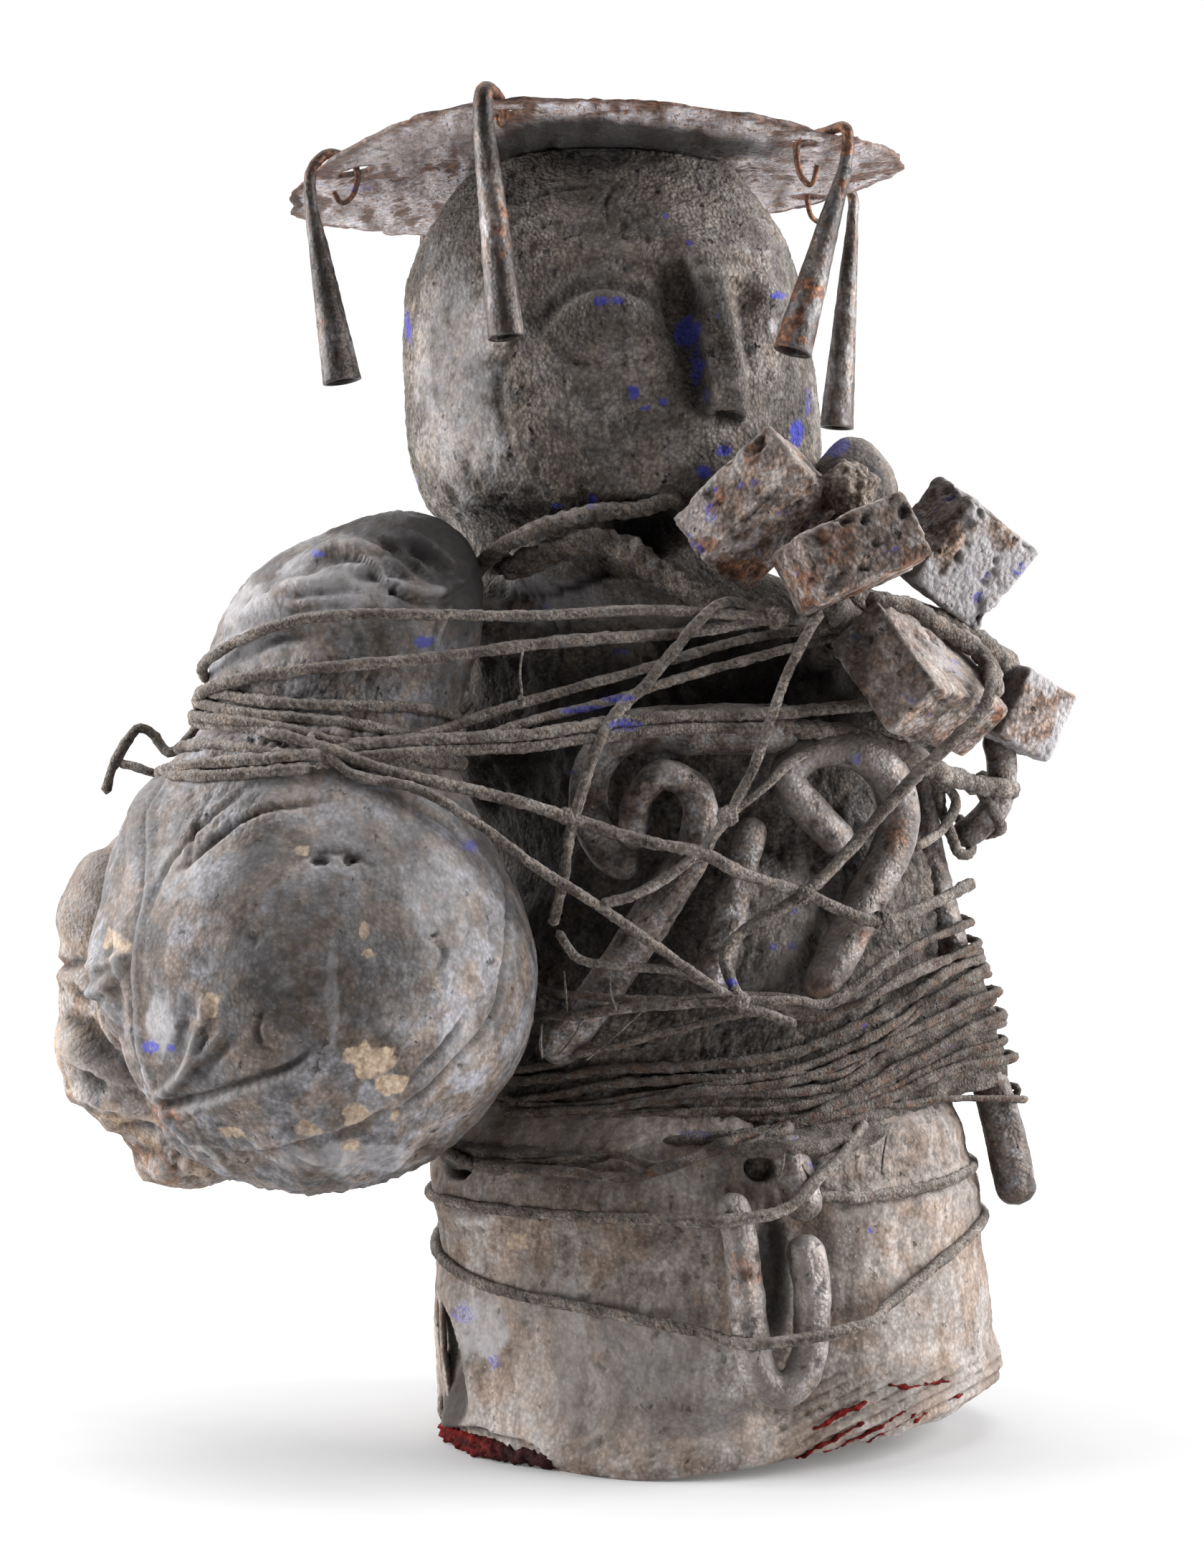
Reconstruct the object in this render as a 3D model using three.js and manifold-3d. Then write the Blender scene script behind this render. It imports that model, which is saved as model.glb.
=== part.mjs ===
// Power figure: a carved, crusted wooden figure under a sheet-iron disc hat, with a gourd and iron pieces lashed on.
// Millimetres, +Z up. X = 0, Y = 0 is the middle of the flat underside, and the viewer stands on the -Y side.
import * as THREE from 'three';
import { mergeVertices } from 'three/addons/utils/BufferGeometryUtils.js';
import Module from 'manifold-3d';

const wasm = await Module();
wasm.setup();

const GAP = 0.35; // clearance left between two pieces that touch
const CORD_RADIUS = 2.1;
const ROD_RADIUS = 6.3;

// Helpers: closed meshes, joins and cuts

// Shares the vertices, drops the collapsed triangles and turns the faces outward.
function closedMesh(geometry) {
  const bare = geometry.clone();
  for (const name of Object.keys(bare.attributes)) {
    if (name !== 'position') bare.deleteAttribute(name);
  }
  const merged = mergeVertices(bare, 1e-3);
  const index = merged.index.array;
  const kept = [];
  for (let i = 0; i < index.length; i += 3) {
    const [a, b, c] = [index[i], index[i + 1], index[i + 2]];
    if (a !== b && b !== c && c !== a) kept.push(a, b, c);
  }
  merged.setIndex(kept);
  if (signedVolume(merged) < 0) {
    for (let i = 0; i < kept.length; i += 3) [kept[i], kept[i + 1]] = [kept[i + 1], kept[i]];
    merged.setIndex(kept);
  }
  return merged;
}

function signedVolume(geometry) {
  const place = geometry.attributes.position;
  const index = geometry.index.array;
  const [a, b, c] = [new THREE.Vector3(), new THREE.Vector3(), new THREE.Vector3()];
  let sum = 0;
  for (let i = 0; i < index.length; i += 3) {
    a.fromBufferAttribute(place, index[i]);
    b.fromBufferAttribute(place, index[i + 1]);
    c.fromBufferAttribute(place, index[i + 2]);
    sum += a.dot(b.cross(c));
  }
  return sum / 6;
}

function toSolid(geometry) {
  const mesh = closedMesh(geometry);
  return new wasm.Manifold(new wasm.Mesh({
    numProp: 3,
    vertProperties: Float32Array.from(mesh.attributes.position.array),
    triVerts: Uint32Array.from(mesh.index.array),
  }));
}

function toGeometry(solid) {
  const mesh = solid.getMesh();
  const geometry = new THREE.BufferGeometry();
  geometry.setAttribute('position', new THREE.BufferAttribute(Float32Array.from(mesh.vertProperties), 3));
  geometry.setIndex(Array.from(mesh.triVerts));
  return geometry;
}

// The same shape swollen along its normals, which cuts a seat with clearance in a neighbour.
function swollen(geometry, amount = GAP) {
  const mesh = closedMesh(geometry);
  mesh.computeVertexNormals();
  const place = mesh.attributes.position;
  const normal = mesh.attributes.normal;
  for (let i = 0; i < place.count; i++) {
    place.setXYZ(i, place.getX(i) + amount * normal.getX(i), place.getY(i) + amount * normal.getY(i),
      place.getZ(i) + amount * normal.getZ(i));
  }
  return mesh;
}

// The piece with its neighbours cut out, without the slivers that a grazing cut leaves.
function cutBy(geometry, neighbours) {
  let solid = toSolid(geometry);
  for (const neighbour of neighbours) solid = solid.subtract(toSolid(swollen(neighbour)));
  const bodies = solid.decompose().sort((a, b) => b.volume() - a.volume());
  return toGeometry(bodies[0]);
}

function joined(geometries) {
  let solid = toSolid(geometries[0]);
  for (const geometry of geometries.slice(1)) solid = solid.add(toSolid(geometry));
  return toGeometry(solid);
}

function reshape(geometry, move) {
  const place = geometry.attributes.position;
  const point = new THREE.Vector3();
  for (let i = 0; i < place.count; i++) {
    point.fromBufferAttribute(place, i);
    move(point);
    place.setXYZ(i, point.x, point.y, point.z);
  }
  return geometry;
}

// A smooth bump of height 1 in the middle that falls to 0 at the given half width.
function bump(distance, halfWidth) {
  const t = Math.min(Math.abs(distance) / halfWidth, 1);
  return (1 - t * t) ** 2;
}

// Helpers: lofted bodies, whose levels are rows of [z, centre x, centre y, half width, half depth]

function levelAt(levels, z) {
  let i = 0;
  while (i < levels.length - 2 && z > levels[i + 1][0]) i += 1;
  const [low, high] = [levels[i], levels[i + 1]];
  const before = levels[Math.max(i - 1, 0)];
  const after = levels[Math.min(i + 2, levels.length - 1)];
  const span = high[0] - low[0];
  const t = THREE.MathUtils.clamp((z - low[0]) / span, 0, 1);
  return low.map((value, column) => {
    const slopeIn = (high[column] - before[column]) / Math.max(high[0] - before[0], 1e-6) * span;
    const slopeOut = (after[column] - value) / Math.max(after[0] - low[0], 1e-6) * span;
    const t2 = t * t;
    const t3 = t2 * t;
    return (2 * t3 - 3 * t2 + 1) * value + (t3 - 2 * t2 + t) * slopeIn
      + (3 * t2 - 2 * t3) * high[column] + (t3 - t2) * slopeOut;
  });
}

function squareness(angle, power) {
  return (Math.abs(Math.cos(angle)) ** power + Math.abs(Math.sin(angle)) ** power) ** (-1 / power);
}

// A closed body through the levels. The relief adds to the radius at (angle, z), and the ends are flat lids.
function loft(levels, heights, around, power, relief = () => 0) {
  const rows = heights.map((z) => new THREE.Vector2(1, z));
  rows.unshift(new THREE.Vector2(0, heights[0]));
  rows.push(new THREE.Vector2(0, heights.at(-1)));
  const geometry = new THREE.LatheGeometry(rows, around);
  geometry.rotateX(Math.PI / 2);
  return reshape(geometry, (point) => {
    const angle = Math.atan2(point.y, point.x);
    const reach = Math.hypot(point.x, point.y);
    const [, x, y, halfWidth, halfDepth] = levelAt(levels, point.z);
    const rim = squareness(angle, power);
    const rise = reach > 0.5 ? relief(angle, point.z) : 0;
    point.x = x + reach * (halfWidth * rim + rise) * Math.cos(angle);
    point.y = y + reach * (halfDepth * rim + rise) * Math.sin(angle);
  });
}

function evenly(from, to, count) {
  return Array.from({ length: count }, (_, i) => from + (to - from) * i / (count - 1));
}

// Helpers: round sections along a route

// A rod, strip or cord through the points. The taper gives the radius at each part of its length, 0 to 1.
function tube(points, radius, { sides = 6, stepLength = 14, taper = () => 1, flat = 1 } = {}) {
  const curve = new THREE.CatmullRomCurve3(points.map((p) => new THREE.Vector3(...p)), false, 'centripetal');
  const steps = Math.max(Math.ceil(curve.getLength() / stepLength), 2);
  const ring = evenly(0, 2 * Math.PI, sides + 1).slice(0, -1);
  const section = new THREE.Shape(ring.map((a) => new THREE.Vector2(radius * Math.cos(a), radius * flat * Math.sin(a))));
  const geometry = new THREE.ExtrudeGeometry(section, { extrudePath: curve, steps, curveSegments: 1 });
  const centres = curve.getSpacedPoints(steps);
  const frames = curve.computeFrenetFrames(steps, false);
  const offset = new THREE.Vector3();
  return reshape(geometry, (point) => {
    let best = 0;
    let bestMiss = Infinity;
    centres.forEach((centre, i) => {
      offset.subVectors(point, centre);
      const miss = Math.abs(offset.dot(frames.tangents[i])) + Math.abs(offset.length() - radius) * (flat === 1 ? 1 : 0.1);
      if (miss < bestMiss) [best, bestMiss] = [i, miss];
    });
    offset.subVectors(point, centres[best]).multiplyScalar(taper(best / steps));
    point.addVectors(centres[best], offset);
  });
}

const roundEnds = (t) => (t === 0 || t === 1 ? 0.55 : 1);

// A closed ring of cord or a ridged band: the section's (out, up) points are carried round by place(angle, out, up).
function ringAround(section, around, place) {
  const closed = section.map(([out, up]) => new THREE.Vector2(100 + out, up));
  closed.push(closed[0].clone());
  const geometry = new THREE.LatheGeometry(closed, around);
  geometry.rotateX(Math.PI / 2);
  return reshape(geometry, (point) => {
    const angle = Math.atan2(point.y, point.x);
    point.fromArray(place(angle, Math.hypot(point.x, point.y) - 100, point.z));
  });
}

// Carved figure: trunk, neck and head in one piece of wood

const FIGURE_LEVELS = [
  [6, -4, 0, 74, 66],
  [60, -4, 0, 74, 66],
  [95, -1, 0, 72, 62],
  [130, 3, 1, 69, 57],
  [170, 1, 1, 67, 54],
  [205, -4, 2, 63, 51],
  [235, -8, 2, 57, 47],
  [252, -20, 0, 47, 42],
  [264, -31, 0, 39, 38],
  [272, -32, -1, 43, 43],
  [280, -31, -3, 56, 53],
  [292, -31, -4, 61.5, 57],
  [306, -32, -4, 62.6, 59],
  [325, -33.5, -4, 61.8, 59],
  [346, -35, -3, 59.3, 57],
  [358, -35, -2, 56, 54],
  [371, -35, 0, 48.5, 48],
  [380, -35, 0, 41.5, 43],
  [388, -35, 0, 38, 40],
];
const FACE_ANGLE = THREE.MathUtils.degToRad(-64); // the face looks to the viewer's right
const FACE_LEAN = 0.085; // the whole head leans to the viewer's left at the top
const HEAD_BOTTOM = 268;

// Angle round the head from the middle of the face, seen with the head's lean taken out.
function faceTurn(angle, z) {
  const turn = angle - FACE_ANGLE + FACE_LEAN * (z - 325) / 60 * 1.4;
  return Math.atan2(Math.sin(turn), Math.cos(turn));
}

function faceRelief(angle, z) {
  if (z < HEAD_BOTTOM) return 0;
  const turn = faceTurn(angle, z) * 60;
  const tip = 301;
  const browLine = 345;
  const alongNose = THREE.MathUtils.clamp((browLine + 4 - z) / (browLine + 4 - tip), 0, 1);
  const nose = z > tip - 5 && z < browLine + 6 ? (3 + 10 * alongNose) * bump(turn, 9) : 0;
  const brow = 3.2 * bump(z - browLine - 4, 9) * bump(turn, 48);
  const leftEye = 4.2 * bump(Math.hypot((turn + 33) / 1.35, z - 330), 15);
  const rightEye = 3.2 * bump(Math.hypot((turn - 26) / 1.2, z - 333), 12);
  const sockets = -4 * (bump(turn + 15, 9) + bump(turn - 14, 8)) * bump(z - 328, 22);
  const cheeks = -2.5 * bump(z - 300, 16) * bump(Math.abs(turn) - 24, 16);
  const chin = 3 * bump(z - 283, 9) * bump(turn, 34);
  return nose + brow + leftEye + rightEye + sockets + cheeks + chin;
}

// Shoulders: the trunk's left shoulder, to the viewer's right, carries the blocks.
function trunkRelief(angle, z) {
  const shoulder = 24 * bump(z - 226, 36) * bump(Math.atan2(Math.sin(angle + 0.25), Math.cos(angle + 0.25)), 1.0);
  const lumps = 1.2 * Math.sin(3 * angle + z / 19) * Math.sin(z / 13 + 2 * Math.cos(angle));
  return z > 80 && z < 262 ? shoulder + lumps : 0;
}

const figureHeights = [6, 70, ...evenly(92, 248, 8), 259, 267, 273, 280, 287, ...evenly(295, 363, 11), 373, 382, 388];
const rawFigure = loft(FIGURE_LEVELS, figureHeights, 36, 2.15, (a, z) => faceRelief(a, z) + trunkRelief(a, z));

// Base wrap: hide over the lower trunk, flat below, with its lower edge rounded and tucked under

const WRAP_LEVELS = [
  [0, -9, -4, 71, 70],
  [3, -7, -3, 77, 73],
  [10, -3, -2, 82.5, 75],
  [24, -2, -1, 84.5, 75.5],
  [46, -2.5, -1, 83.5, 75],
  [58, -3, -1, 81.5, 74],
  [74, -4, -1, 81.5, 73],
  [84, -5, 0, 79.5, 71],
];

function wrapRelief(angle, z) {
  const pleats = 1.1 * Math.sin(22 * angle + z / 6) * bump(z - 10, 26) * bump(angle + 0.7, 0.75);
  const sag = 1.4 * Math.sin(5 * angle + z / 23);
  const inFront = 2 * bump(angle + 1.95, 0.5) * bump(z - 6, 30);
  return z > 1 ? pleats + sag + inFront : 0.5 * sag;
}
const wrapHeights = [0, 3, 9, 18, 34, 54, 70, 84];
const rawWrap = loft(WRAP_LEVELS, wrapHeights, 34, 2.3, wrapRelief);

// Hat disc: thin sheet iron with a ragged rim, lower at the viewer's left

const DISC_CENTRE = new THREE.Vector3(-37.5, 0, 380.3);
const DISC_RADIUS = 94;
const DISC_TILT = THREE.MathUtils.degToRad(3.9);
const DISC_THICKNESS = 2.2;

function discHeight(x, y) {
  const across = (x - DISC_CENTRE.x) / DISC_RADIUS;
  const deep = (y - DISC_CENTRE.y) / DISC_RADIUS;
  return DISC_CENTRE.z + Math.tan(DISC_TILT) * (x - DISC_CENTRE.x) + 1.4 * deep * deep - 1.4 * across * across;
}

function hatDisc() {
  const rows = [[0, 0], [DISC_RADIUS, 0], [DISC_RADIUS, DISC_THICKNESS], [0, DISC_THICKNESS]];
  const geometry = new THREE.LatheGeometry(rows.map((row) => new THREE.Vector2(...row)), 44);
  geometry.rotateX(Math.PI / 2);
  return reshape(geometry, (point) => {
    const angle = Math.atan2(point.y, point.x);
    const reach = Math.hypot(point.x, point.y) / DISC_RADIUS;
    const ragged = 1 + reach * reach * (0.012 * Math.sin(7 * angle + 1) + 0.009 * Math.sin(17 * angle));
    point.x = DISC_CENTRE.x + point.x * ragged;
    point.y = DISC_CENTRE.y + point.y * ragged;
    point.z += discHeight(point.x, point.y);
  });
}

// Pendants: sheet iron rolled to a hollow cone, its narrow end bent to a hook through a hole near the disc's rim

// Each pendant: the rim angle, how far in the hole is, where the mouth hangs and the length below the disc.
const PENDANTS = [
  { rim: 210, mouth: [-111, -49], drop: 64 },
  { rim: 252, mouth: [-64, -97], drop: 66 },
  { rim: 317, mouth: [20, -72], drop: 63 },
  { rim: 32, mouth: [42, 51], drop: 72 },
  { rim: 80, mouth: [-21, 96], drop: 66 },
  { rim: 125, mouth: [-92, 79], drop: 65 },
];
const HOLE_INSET = 13;
const MOUTH_RADIUS = 5.4;
const NECK_RADIUS = 1.7;

function rimPoint({ rim }, reach) {
  const angle = THREE.MathUtils.degToRad(rim);
  const x = DISC_CENTRE.x + reach * Math.cos(angle);
  const y = DISC_CENTRE.y + reach * Math.sin(angle);
  return new THREE.Vector3(x, y, discHeight(x, y));
}

function holeCutter(pendant) {
  const cutter = new THREE.CylinderGeometry(4.6, 4.6, 14, 8);
  cutter.rotateX(Math.PI / 2);
  const hole = rimPoint(pendant, DISC_RADIUS - HOLE_INSET);
  return cutter.translate(hole.x, hole.y, hole.z);
}

function rolledPendant(pendant) {
  const hole = rimPoint(pendant, DISC_RADIUS - HOLE_INSET);
  const outside = rimPoint(pendant, DISC_RADIUS + 4.2);
  const shoulder = outside.clone().setZ(outside.z - 8);
  const mouth = new THREE.Vector3(...pendant.mouth, outside.z - pendant.drop);
  const inward = rimPoint(pendant, DISC_RADIUS - HOLE_INSET + 2);
  const hook = tube([
    [inward.x, inward.y, hole.z - 7],
    [hole.x, hole.y, hole.z - 2],
    [hole.x, hole.y, hole.z + 4.5],
    rimPoint(pendant, DISC_RADIUS - 4).setZ(outside.z + 8).toArray(),
    [outside.x, outside.y, outside.z + 3],
    shoulder.toArray(),
    shoulder.clone().lerp(mouth, 0.16).toArray(),
  ], NECK_RADIUS, { sides: 5, stepLength: 7 });
  const length = shoulder.distanceTo(mouth);
  const deep = 0.62 * length;
  const cone = new THREE.LatheGeometry([
    [0, 0], [NECK_RADIUS * 1.1, 0], [0.62 * MOUTH_RADIUS, 0.45 * length], [MOUTH_RADIUS, length],
    [MOUTH_RADIUS - 1.1, length], [0.8, length - deep], [0, length - deep],
  ].map((row) => new THREE.Vector2(...row)), 6);
  const down = mouth.clone().sub(shoulder).normalize();
  cone.applyQuaternion(new THREE.Quaternion().setFromUnitVectors(new THREE.Vector3(0, 1, 0), down));
  cone.translate(shoulder.x, shoulder.y, shoulder.z);
  return joined([cone, hook]);
}

// Gourd: a double-lobed gourd in a hide cover, and the cloth bundle gathered behind it

const GOURD_LEVELS = [
  [78, -114, -64, 4, 4],
  [82, -114, -65, 24, 24],
  [94, -114, -66, 42, 41],
  [112, -114.5, -67, 54, 53],
  [140, -115, -68, 61, 60],
  [162, -116, -67, 57.5, 56],
  [182, -117, -64, 48.5, 47],
  [197, -118, -60, 41.5, 40],
  [209, -117.5, -57, 38, 37],
  [221, -114.5, -54, 39, 38],
  [237, -110.5, -51, 40.5, 39],
  [252, -107, -49, 36.5, 36],
  [264, -102, -47, 28, 28],
  [272, -98, -46, 16, 16],
  [275, -97, -46, 4, 4],
];

function gourdRelief(angle, z) {
  const lowFolds = 1.6 * Math.sin(9 * angle + z / 9) * bump(z - 96, 26);
  const highFolds = 1.1 * Math.sin(7 * angle - z / 11) * bump(z - 250, 30);
  return lowFolds + highFolds;
}
const gourdHeights = [78, 80, 85, 93, 104, 120, 140, 158, 174, 188, 199, 209, 222, 237, 250, 262, 270, 275];
const rawGourd = loft(GOURD_LEVELS, gourdHeights, 24, 2, gourdRelief);

function clothBundle() {
  const geometry = new THREE.SphereGeometry(1, 14, 9);
  geometry.rotateX(Math.PI / 2);
  return reshape(geometry, (point) => {
    const folds = 1 + 0.05 * Math.sin(6 * Math.atan2(point.z, point.x)) + 0.04 * Math.sin(9 * point.z + 4 * point.x);
    point.set(-150 + 46 * folds * point.x, -38 + 40 * folds * point.y, 134 + 56 * folds * point.z);
  });
}

// Blocks and lumps on the shoulder: half sizes, centre and turn in degrees

const BLOCKS = [
  { name: 'block_1', size: [39, 29, 20], centre: [9.5, -62, 273.5], turn: [-37, -29, -35], colour: 0x6b5648 },
  { name: 'block_2', size: [35, 26, 20], centre: [35, -78, 259.5], turn: [-4, -25, 16], colour: 0x5d4c43 },
  { name: 'block_3', size: [29, 28, 30], centre: [68.5, -35, 262.5], turn: [6, 38, 23], colour: 0x6f675f },
  { name: 'block_4', size: [43, 20, 34], centre: [56, -62, 225], turn: [-34, -27, 48], colour: 0x5f5650 },
  { name: 'block_5', size: [23, 18, 22], centre: [89.5, -25, 217], turn: [-5, 25, 39], colour: 0x776b60 },
];

function block({ size, centre, turn }) {
  const geometry = new THREE.BoxGeometry(...size, 2, 2, 2);
  reshape(geometry, (point) => {
    const wear = 1 - 0.035 * (Math.abs(point.x / size[0]) + Math.abs(point.y / size[1]) + Math.abs(point.z / size[2]));
    point.multiplyScalar(wear + 0.012 * Math.sin(point.x + 2 * point.y + 3 * point.z));
  });
  const angles = turn.map((degrees) => THREE.MathUtils.degToRad(degrees));
  geometry.applyQuaternion(new THREE.Quaternion().setFromEuler(new THREE.Euler(...angles)));
  return geometry.translate(...centre);
}

function lump(centre, halfSizes, around = 8) {
  const geometry = new THREE.SphereGeometry(1, around, around / 2 + 2);
  return reshape(geometry, (point) => {
    const rough = 1 + 0.08 * Math.sin(5 * point.x + 3 * point.z) + 0.06 * Math.sin(7 * point.y - 4 * point.x);
    point.set(...centre.map((middle, i) => middle + rough * halfSizes[i] * point.getComponent(i)));
  });
}

// Forged iron pieces on the chest and base: routes through the middle of each rod

const IRON_ROUTES = {
  hook_left: [[18, -64, 207], [-7, -66, 207], [-29, -66, 207], [-36, -66, 200], [-38, -66, 189], [-33, -66, 176],
    [-26, -66, 173]],
  hook_link: [[-25, -68, 178], [-23, -76, 192], [-15, -79, 199], [-6, -77, 193], [-6, -72, 179], [-20, -68, 159],
    [-35, -64, 136], [-49, -56, 118]],
  dark_bar: [[8, -60, 183], [2, -61, 161], [-4, -64, 136]],
  hook_right: [[34, -56, 178], [25, -60, 187], [18, -62, 197], [24, -62, 204], [38, -60, 205], [50, -56, 197],
    [53, -53, 183], [45, -54, 165], [37, -57, 152], [27, -61, 135]],
  long_rod: [[63, -20, 196], [67, -20, 176], [75, -20, 151], [83, -20, 112], [86, -20, 99], [90, -20, 76]],
  block_hook: [[83, -20, 204], [87, -20, 194], [85, -20, 183], [75, -18, 177]],
  u_hook: [[-3, -83, 83], [1, -83, 74], [4, -84, 54], [7, -84, 37], [15, -84, 25], [21.5, -83, 37], [22, -83, 57],
    [21, -82, 67]],
  short_rod: [[17, -74, 93], [20, -77, 82], [22, -79, 75]],
};
const THIN_IRON = { block_hook: 5, u_hook: 5.6, short_rod: 5.4, hook_left: 6.6 };

function ironPiece(name) {
  return tube(IRON_ROUTES[name], THIN_IRON[name] ?? ROD_RADIUS, { sides: 6, stepLength: 10, taper: roundEnds });
}

// Chest lashing: cord crusted together where its turns cross. Free spans go from point to point.

const CHEST_CORDS = [
  [[-148, -76, 230], [-135, -82, 236], [-122, -89, 240], [-104, -95, 242], [-79, -90, 242], [-54, -84, 242],
    [-23, -79, 244], [14, -73, 242], [34, -56, 241]],
  [[-148, -78, 223], [-132, -87, 225], [-104, -95, 228], [-83, -91, 230], [-46, -83, 235], [-9, -77, 238],
    [14, -73, 242]],
  [[-106, -98, 206], [-91, -97, 207], [-71, -93, 208], [-54, -88, 209], [-34, -84, 211], [-12, -77, 213],
    [14, -72, 214], [30, -62, 216]],
  [[-95, -96, 206], [-80, -88, 210], [-63, -83, 216], [-46, -80, 221], [-25, -82, 226]],
  [[-155, -58, 214], [-131, -92, 210], [-112, -99, 205], [-95, -99, 199], [-79, -96, 195], [-58, -91, 190],
    [-43, -87, 185], [-23, -87, 179], [-8, -85, 176], [4, -82, 170], [22, -74, 164], [42, -66, 156],
    [60, -50, 160], [75, -32, 166]],
  [[-112, -99, 205], [-104, -101, 198], [-87, -100, 194], [-68, -95, 183], [-52, -91, 171], [-36, -87, 161],
    [-19, -84, 149], [3, -80, 134], [20, -78, 127]],
  [[14, -73, 242], [-1, -76, 246], [-13, -81, 235], [-23, -84, 223], [-34, -85, 211], [-43, -87, 185],
    [-46, -85, 168], [-48, -78, 154]],
  [[27, -74, 244], [14, -73, 242], [18, -79, 226], [12, -81, 213], [7, -82, 199], [0, -84, 186], [-8, -85, 176],
    [-24, -86, 165], [-36, -87, 161]],
  [[27, -69, 206], [18, -76, 201], [9, -82, 193], [0, -84, 186]],
  [[78, -74, 228], [76, -76, 218], [66, -78, 206], [54, -72, 197], [42, -69, 183], [32, -72, 173], [22, -74, 164],
    [0, -76, 148], [3, -80, 134]],
  [[-48, -78, 154], [-42, -80, 146], [-29, -82, 144], [-13, -82, 142], [3, -80, 134]],
  [[-44, -70, 129], [-27, -78, 132], [3, -80, 134], [20, -77, 134], [28, -73, 133], [50, -62, 147]],
];
const CORD_TAIL = [[-150, -52, 214], [-160, -54, 204], [-163, -53, 206], [-165, -53, 209], [-169, -54, 211],
  [-172, -55, 208], [-175, -57, 203], [-177, -58, 198], [-178, -59, 192]];

// Turns round the gourd's waist: a band of cord ridges that follows the waist's outline
function gourdWaistBand() {
  return ringAround(ridgedSection(3, 4.4, 3.4, 0), 20, (angle, out, up) => {
    const z = 210 + 3 * Math.sin(angle + 1.2) + up;
    const [, x, y, halfWidth, halfDepth] = levelAt(GOURD_LEVELS, z);
    return [x + (halfWidth + out + 1.2) * Math.cos(angle), y + (halfDepth + out + 1.2) * Math.sin(angle), z];
  });
}

// A band's section: a flat inner side and one rounded ridge for each turn of cord.
function ridgedSection(turns, pitch, thickness) {
  const half = turns * pitch / 2;
  const ridges = evenly(0, turns, 2 * turns + 1).map((t, i) => [thickness * (i % 2 ? 1 : 0.45), t * pitch - half]);
  return [[0, -half], ...ridges, [0, half]];
}

// Turns round the belly: narrow in front, spread at the right where they pass over the long rod
function bellyBand() {
  return ringAround(ridgedSection(5, 5.2, 4), 32, (angle, out, up) => {
    const right = bump(angle + 0.1, 1.15);
    const front = bump(angle + 1.45, 1.0);
    const left = bump(angle + 2.7, 1.0);
    const z = 104 + 27 * right + 5 * front - 5 * left + up * (1 + 0.25 * right - 0.35 * front);
    const [, x, y, halfWidth, halfDepth] = levelAt(FIGURE_LEVELS, z);
    const rim = squareness(angle, 2.15);
    const lift = out + 1.8 + trunkRelief(angle, z) + 11 * front + 15 * bump(angle + 0.26, 0.5);
    return [x + (halfWidth * rim + lift) * Math.cos(angle), y + (halfDepth * rim + lift) * Math.sin(angle), z];
  });
}

// Base lashing: cord that winds down over the wrap in three turns, as rows of [degrees, z, lift over an iron piece].
const BASE_TURNS = [
  [[-56, 97, 0], [-62, 93, 5], [-70, 86, 13], [-78, 77, 15], [-88, 74, 15], [-97, 73, 8], [-112, 72, 0],
    [-135, 72, 0], [-158, 72, 0], [-180, 72, 0], [150, 71, 0], [110, 70, 0], [70, 69, 0], [35, 68, 0]],
  [[70, 69, 0], [35, 68, 0], [8, 66, 0], [-18, 64, 0], [-38, 57, 0], [-57, 48, 4], [-68, 44, 15], [-84, 40, 15],
    [-95, 42, 5], [-115, 46, 0], [-138, 50, 0], [-160, 55, 0], [-180, 58, 0]],
  [[-160, 55, 0], [-180, 58, 0], [155, 60, 0], [110, 67, 0], [60, 75, 0], [25, 81, 0], [0, 81, 0], [-25, 80, 0],
    [-45, 78, 0], [-60, 77, 0]],
];

function onWrap([degrees, z, lift]) {
  const angle = THREE.MathUtils.degToRad(degrees);
  const [, x, y, halfWidth, halfDepth] = levelAt(WRAP_LEVELS, Math.min(z, 84));
  const over = lift + CORD_RADIUS + 1.8 + wrapRelief(angle, z);
  const rim = squareness(angle, 2.3);
  return [x + (halfWidth * rim + over) * Math.cos(angle), y + (halfDepth * rim + over) * Math.sin(angle), z];
}

function chestLashing() {
  const strands = CHEST_CORDS.map((route) => tube(route, CORD_RADIUS, { sides: 5, stepLength: 30 }));
  const tail = tube(CORD_TAIL, 1.7, { sides: 5, stepLength: 9 });
  return joined([gourdWaistBand(), ...strands, tail]);
}

// Cords and straps at the throat
const NECK_CORD = [[-71, -34, 262], [-58, -44, 267], [-48, -49, 270], [-39, -51, 271], [-22, -50, 273],
  [-12, -48, 277]];
const CHEST_STRAP = [[-62, -40, 258], [-48, -50, 262], [-38, -53, 264], [-30, -54, 262], [-24, -56, 257],
  [-16, -60, 250]];

// Red cloth showing at the torn lower edge of the wrap, and the knotted string beside it
const RED_CLOTH = [[-80, -22, 4.5], [-77, -36, 4.5], [-70, -50, 4.5], [-60, -60, 4], [-49, -68, 3.6]];

// Assembly: hard pieces keep their form, and softer ones take a seat for them

// The head's top follows the underside of the disc that sits on it.
reshape(rawFigure, (point) => {
  point.z = Math.min(point.z, discHeight(point.x, point.y) - 2 * GAP);
});

const group = new THREE.Group();

function add(name, geometry, colour, roughness = 0.95, metalness = 0) {
  const mesh = new THREE.Mesh(geometry, new THREE.MeshStandardMaterial({ color: colour, roughness, metalness }));
  mesh.name = name;
  group.add(mesh);
}

let disc = toSolid(hatDisc());
for (const pendant of PENDANTS) disc = disc.subtract(toSolid(holeCutter(pendant)));
add('hat_disc', toGeometry(disc), 0x7a6c69, 0.9, 0.4);
PENDANTS.forEach((pendant, i) => add(`pendant_${i + 1}`, rolledPendant(pendant), 0x5a4c46, 0.85, 0.5));

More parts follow.
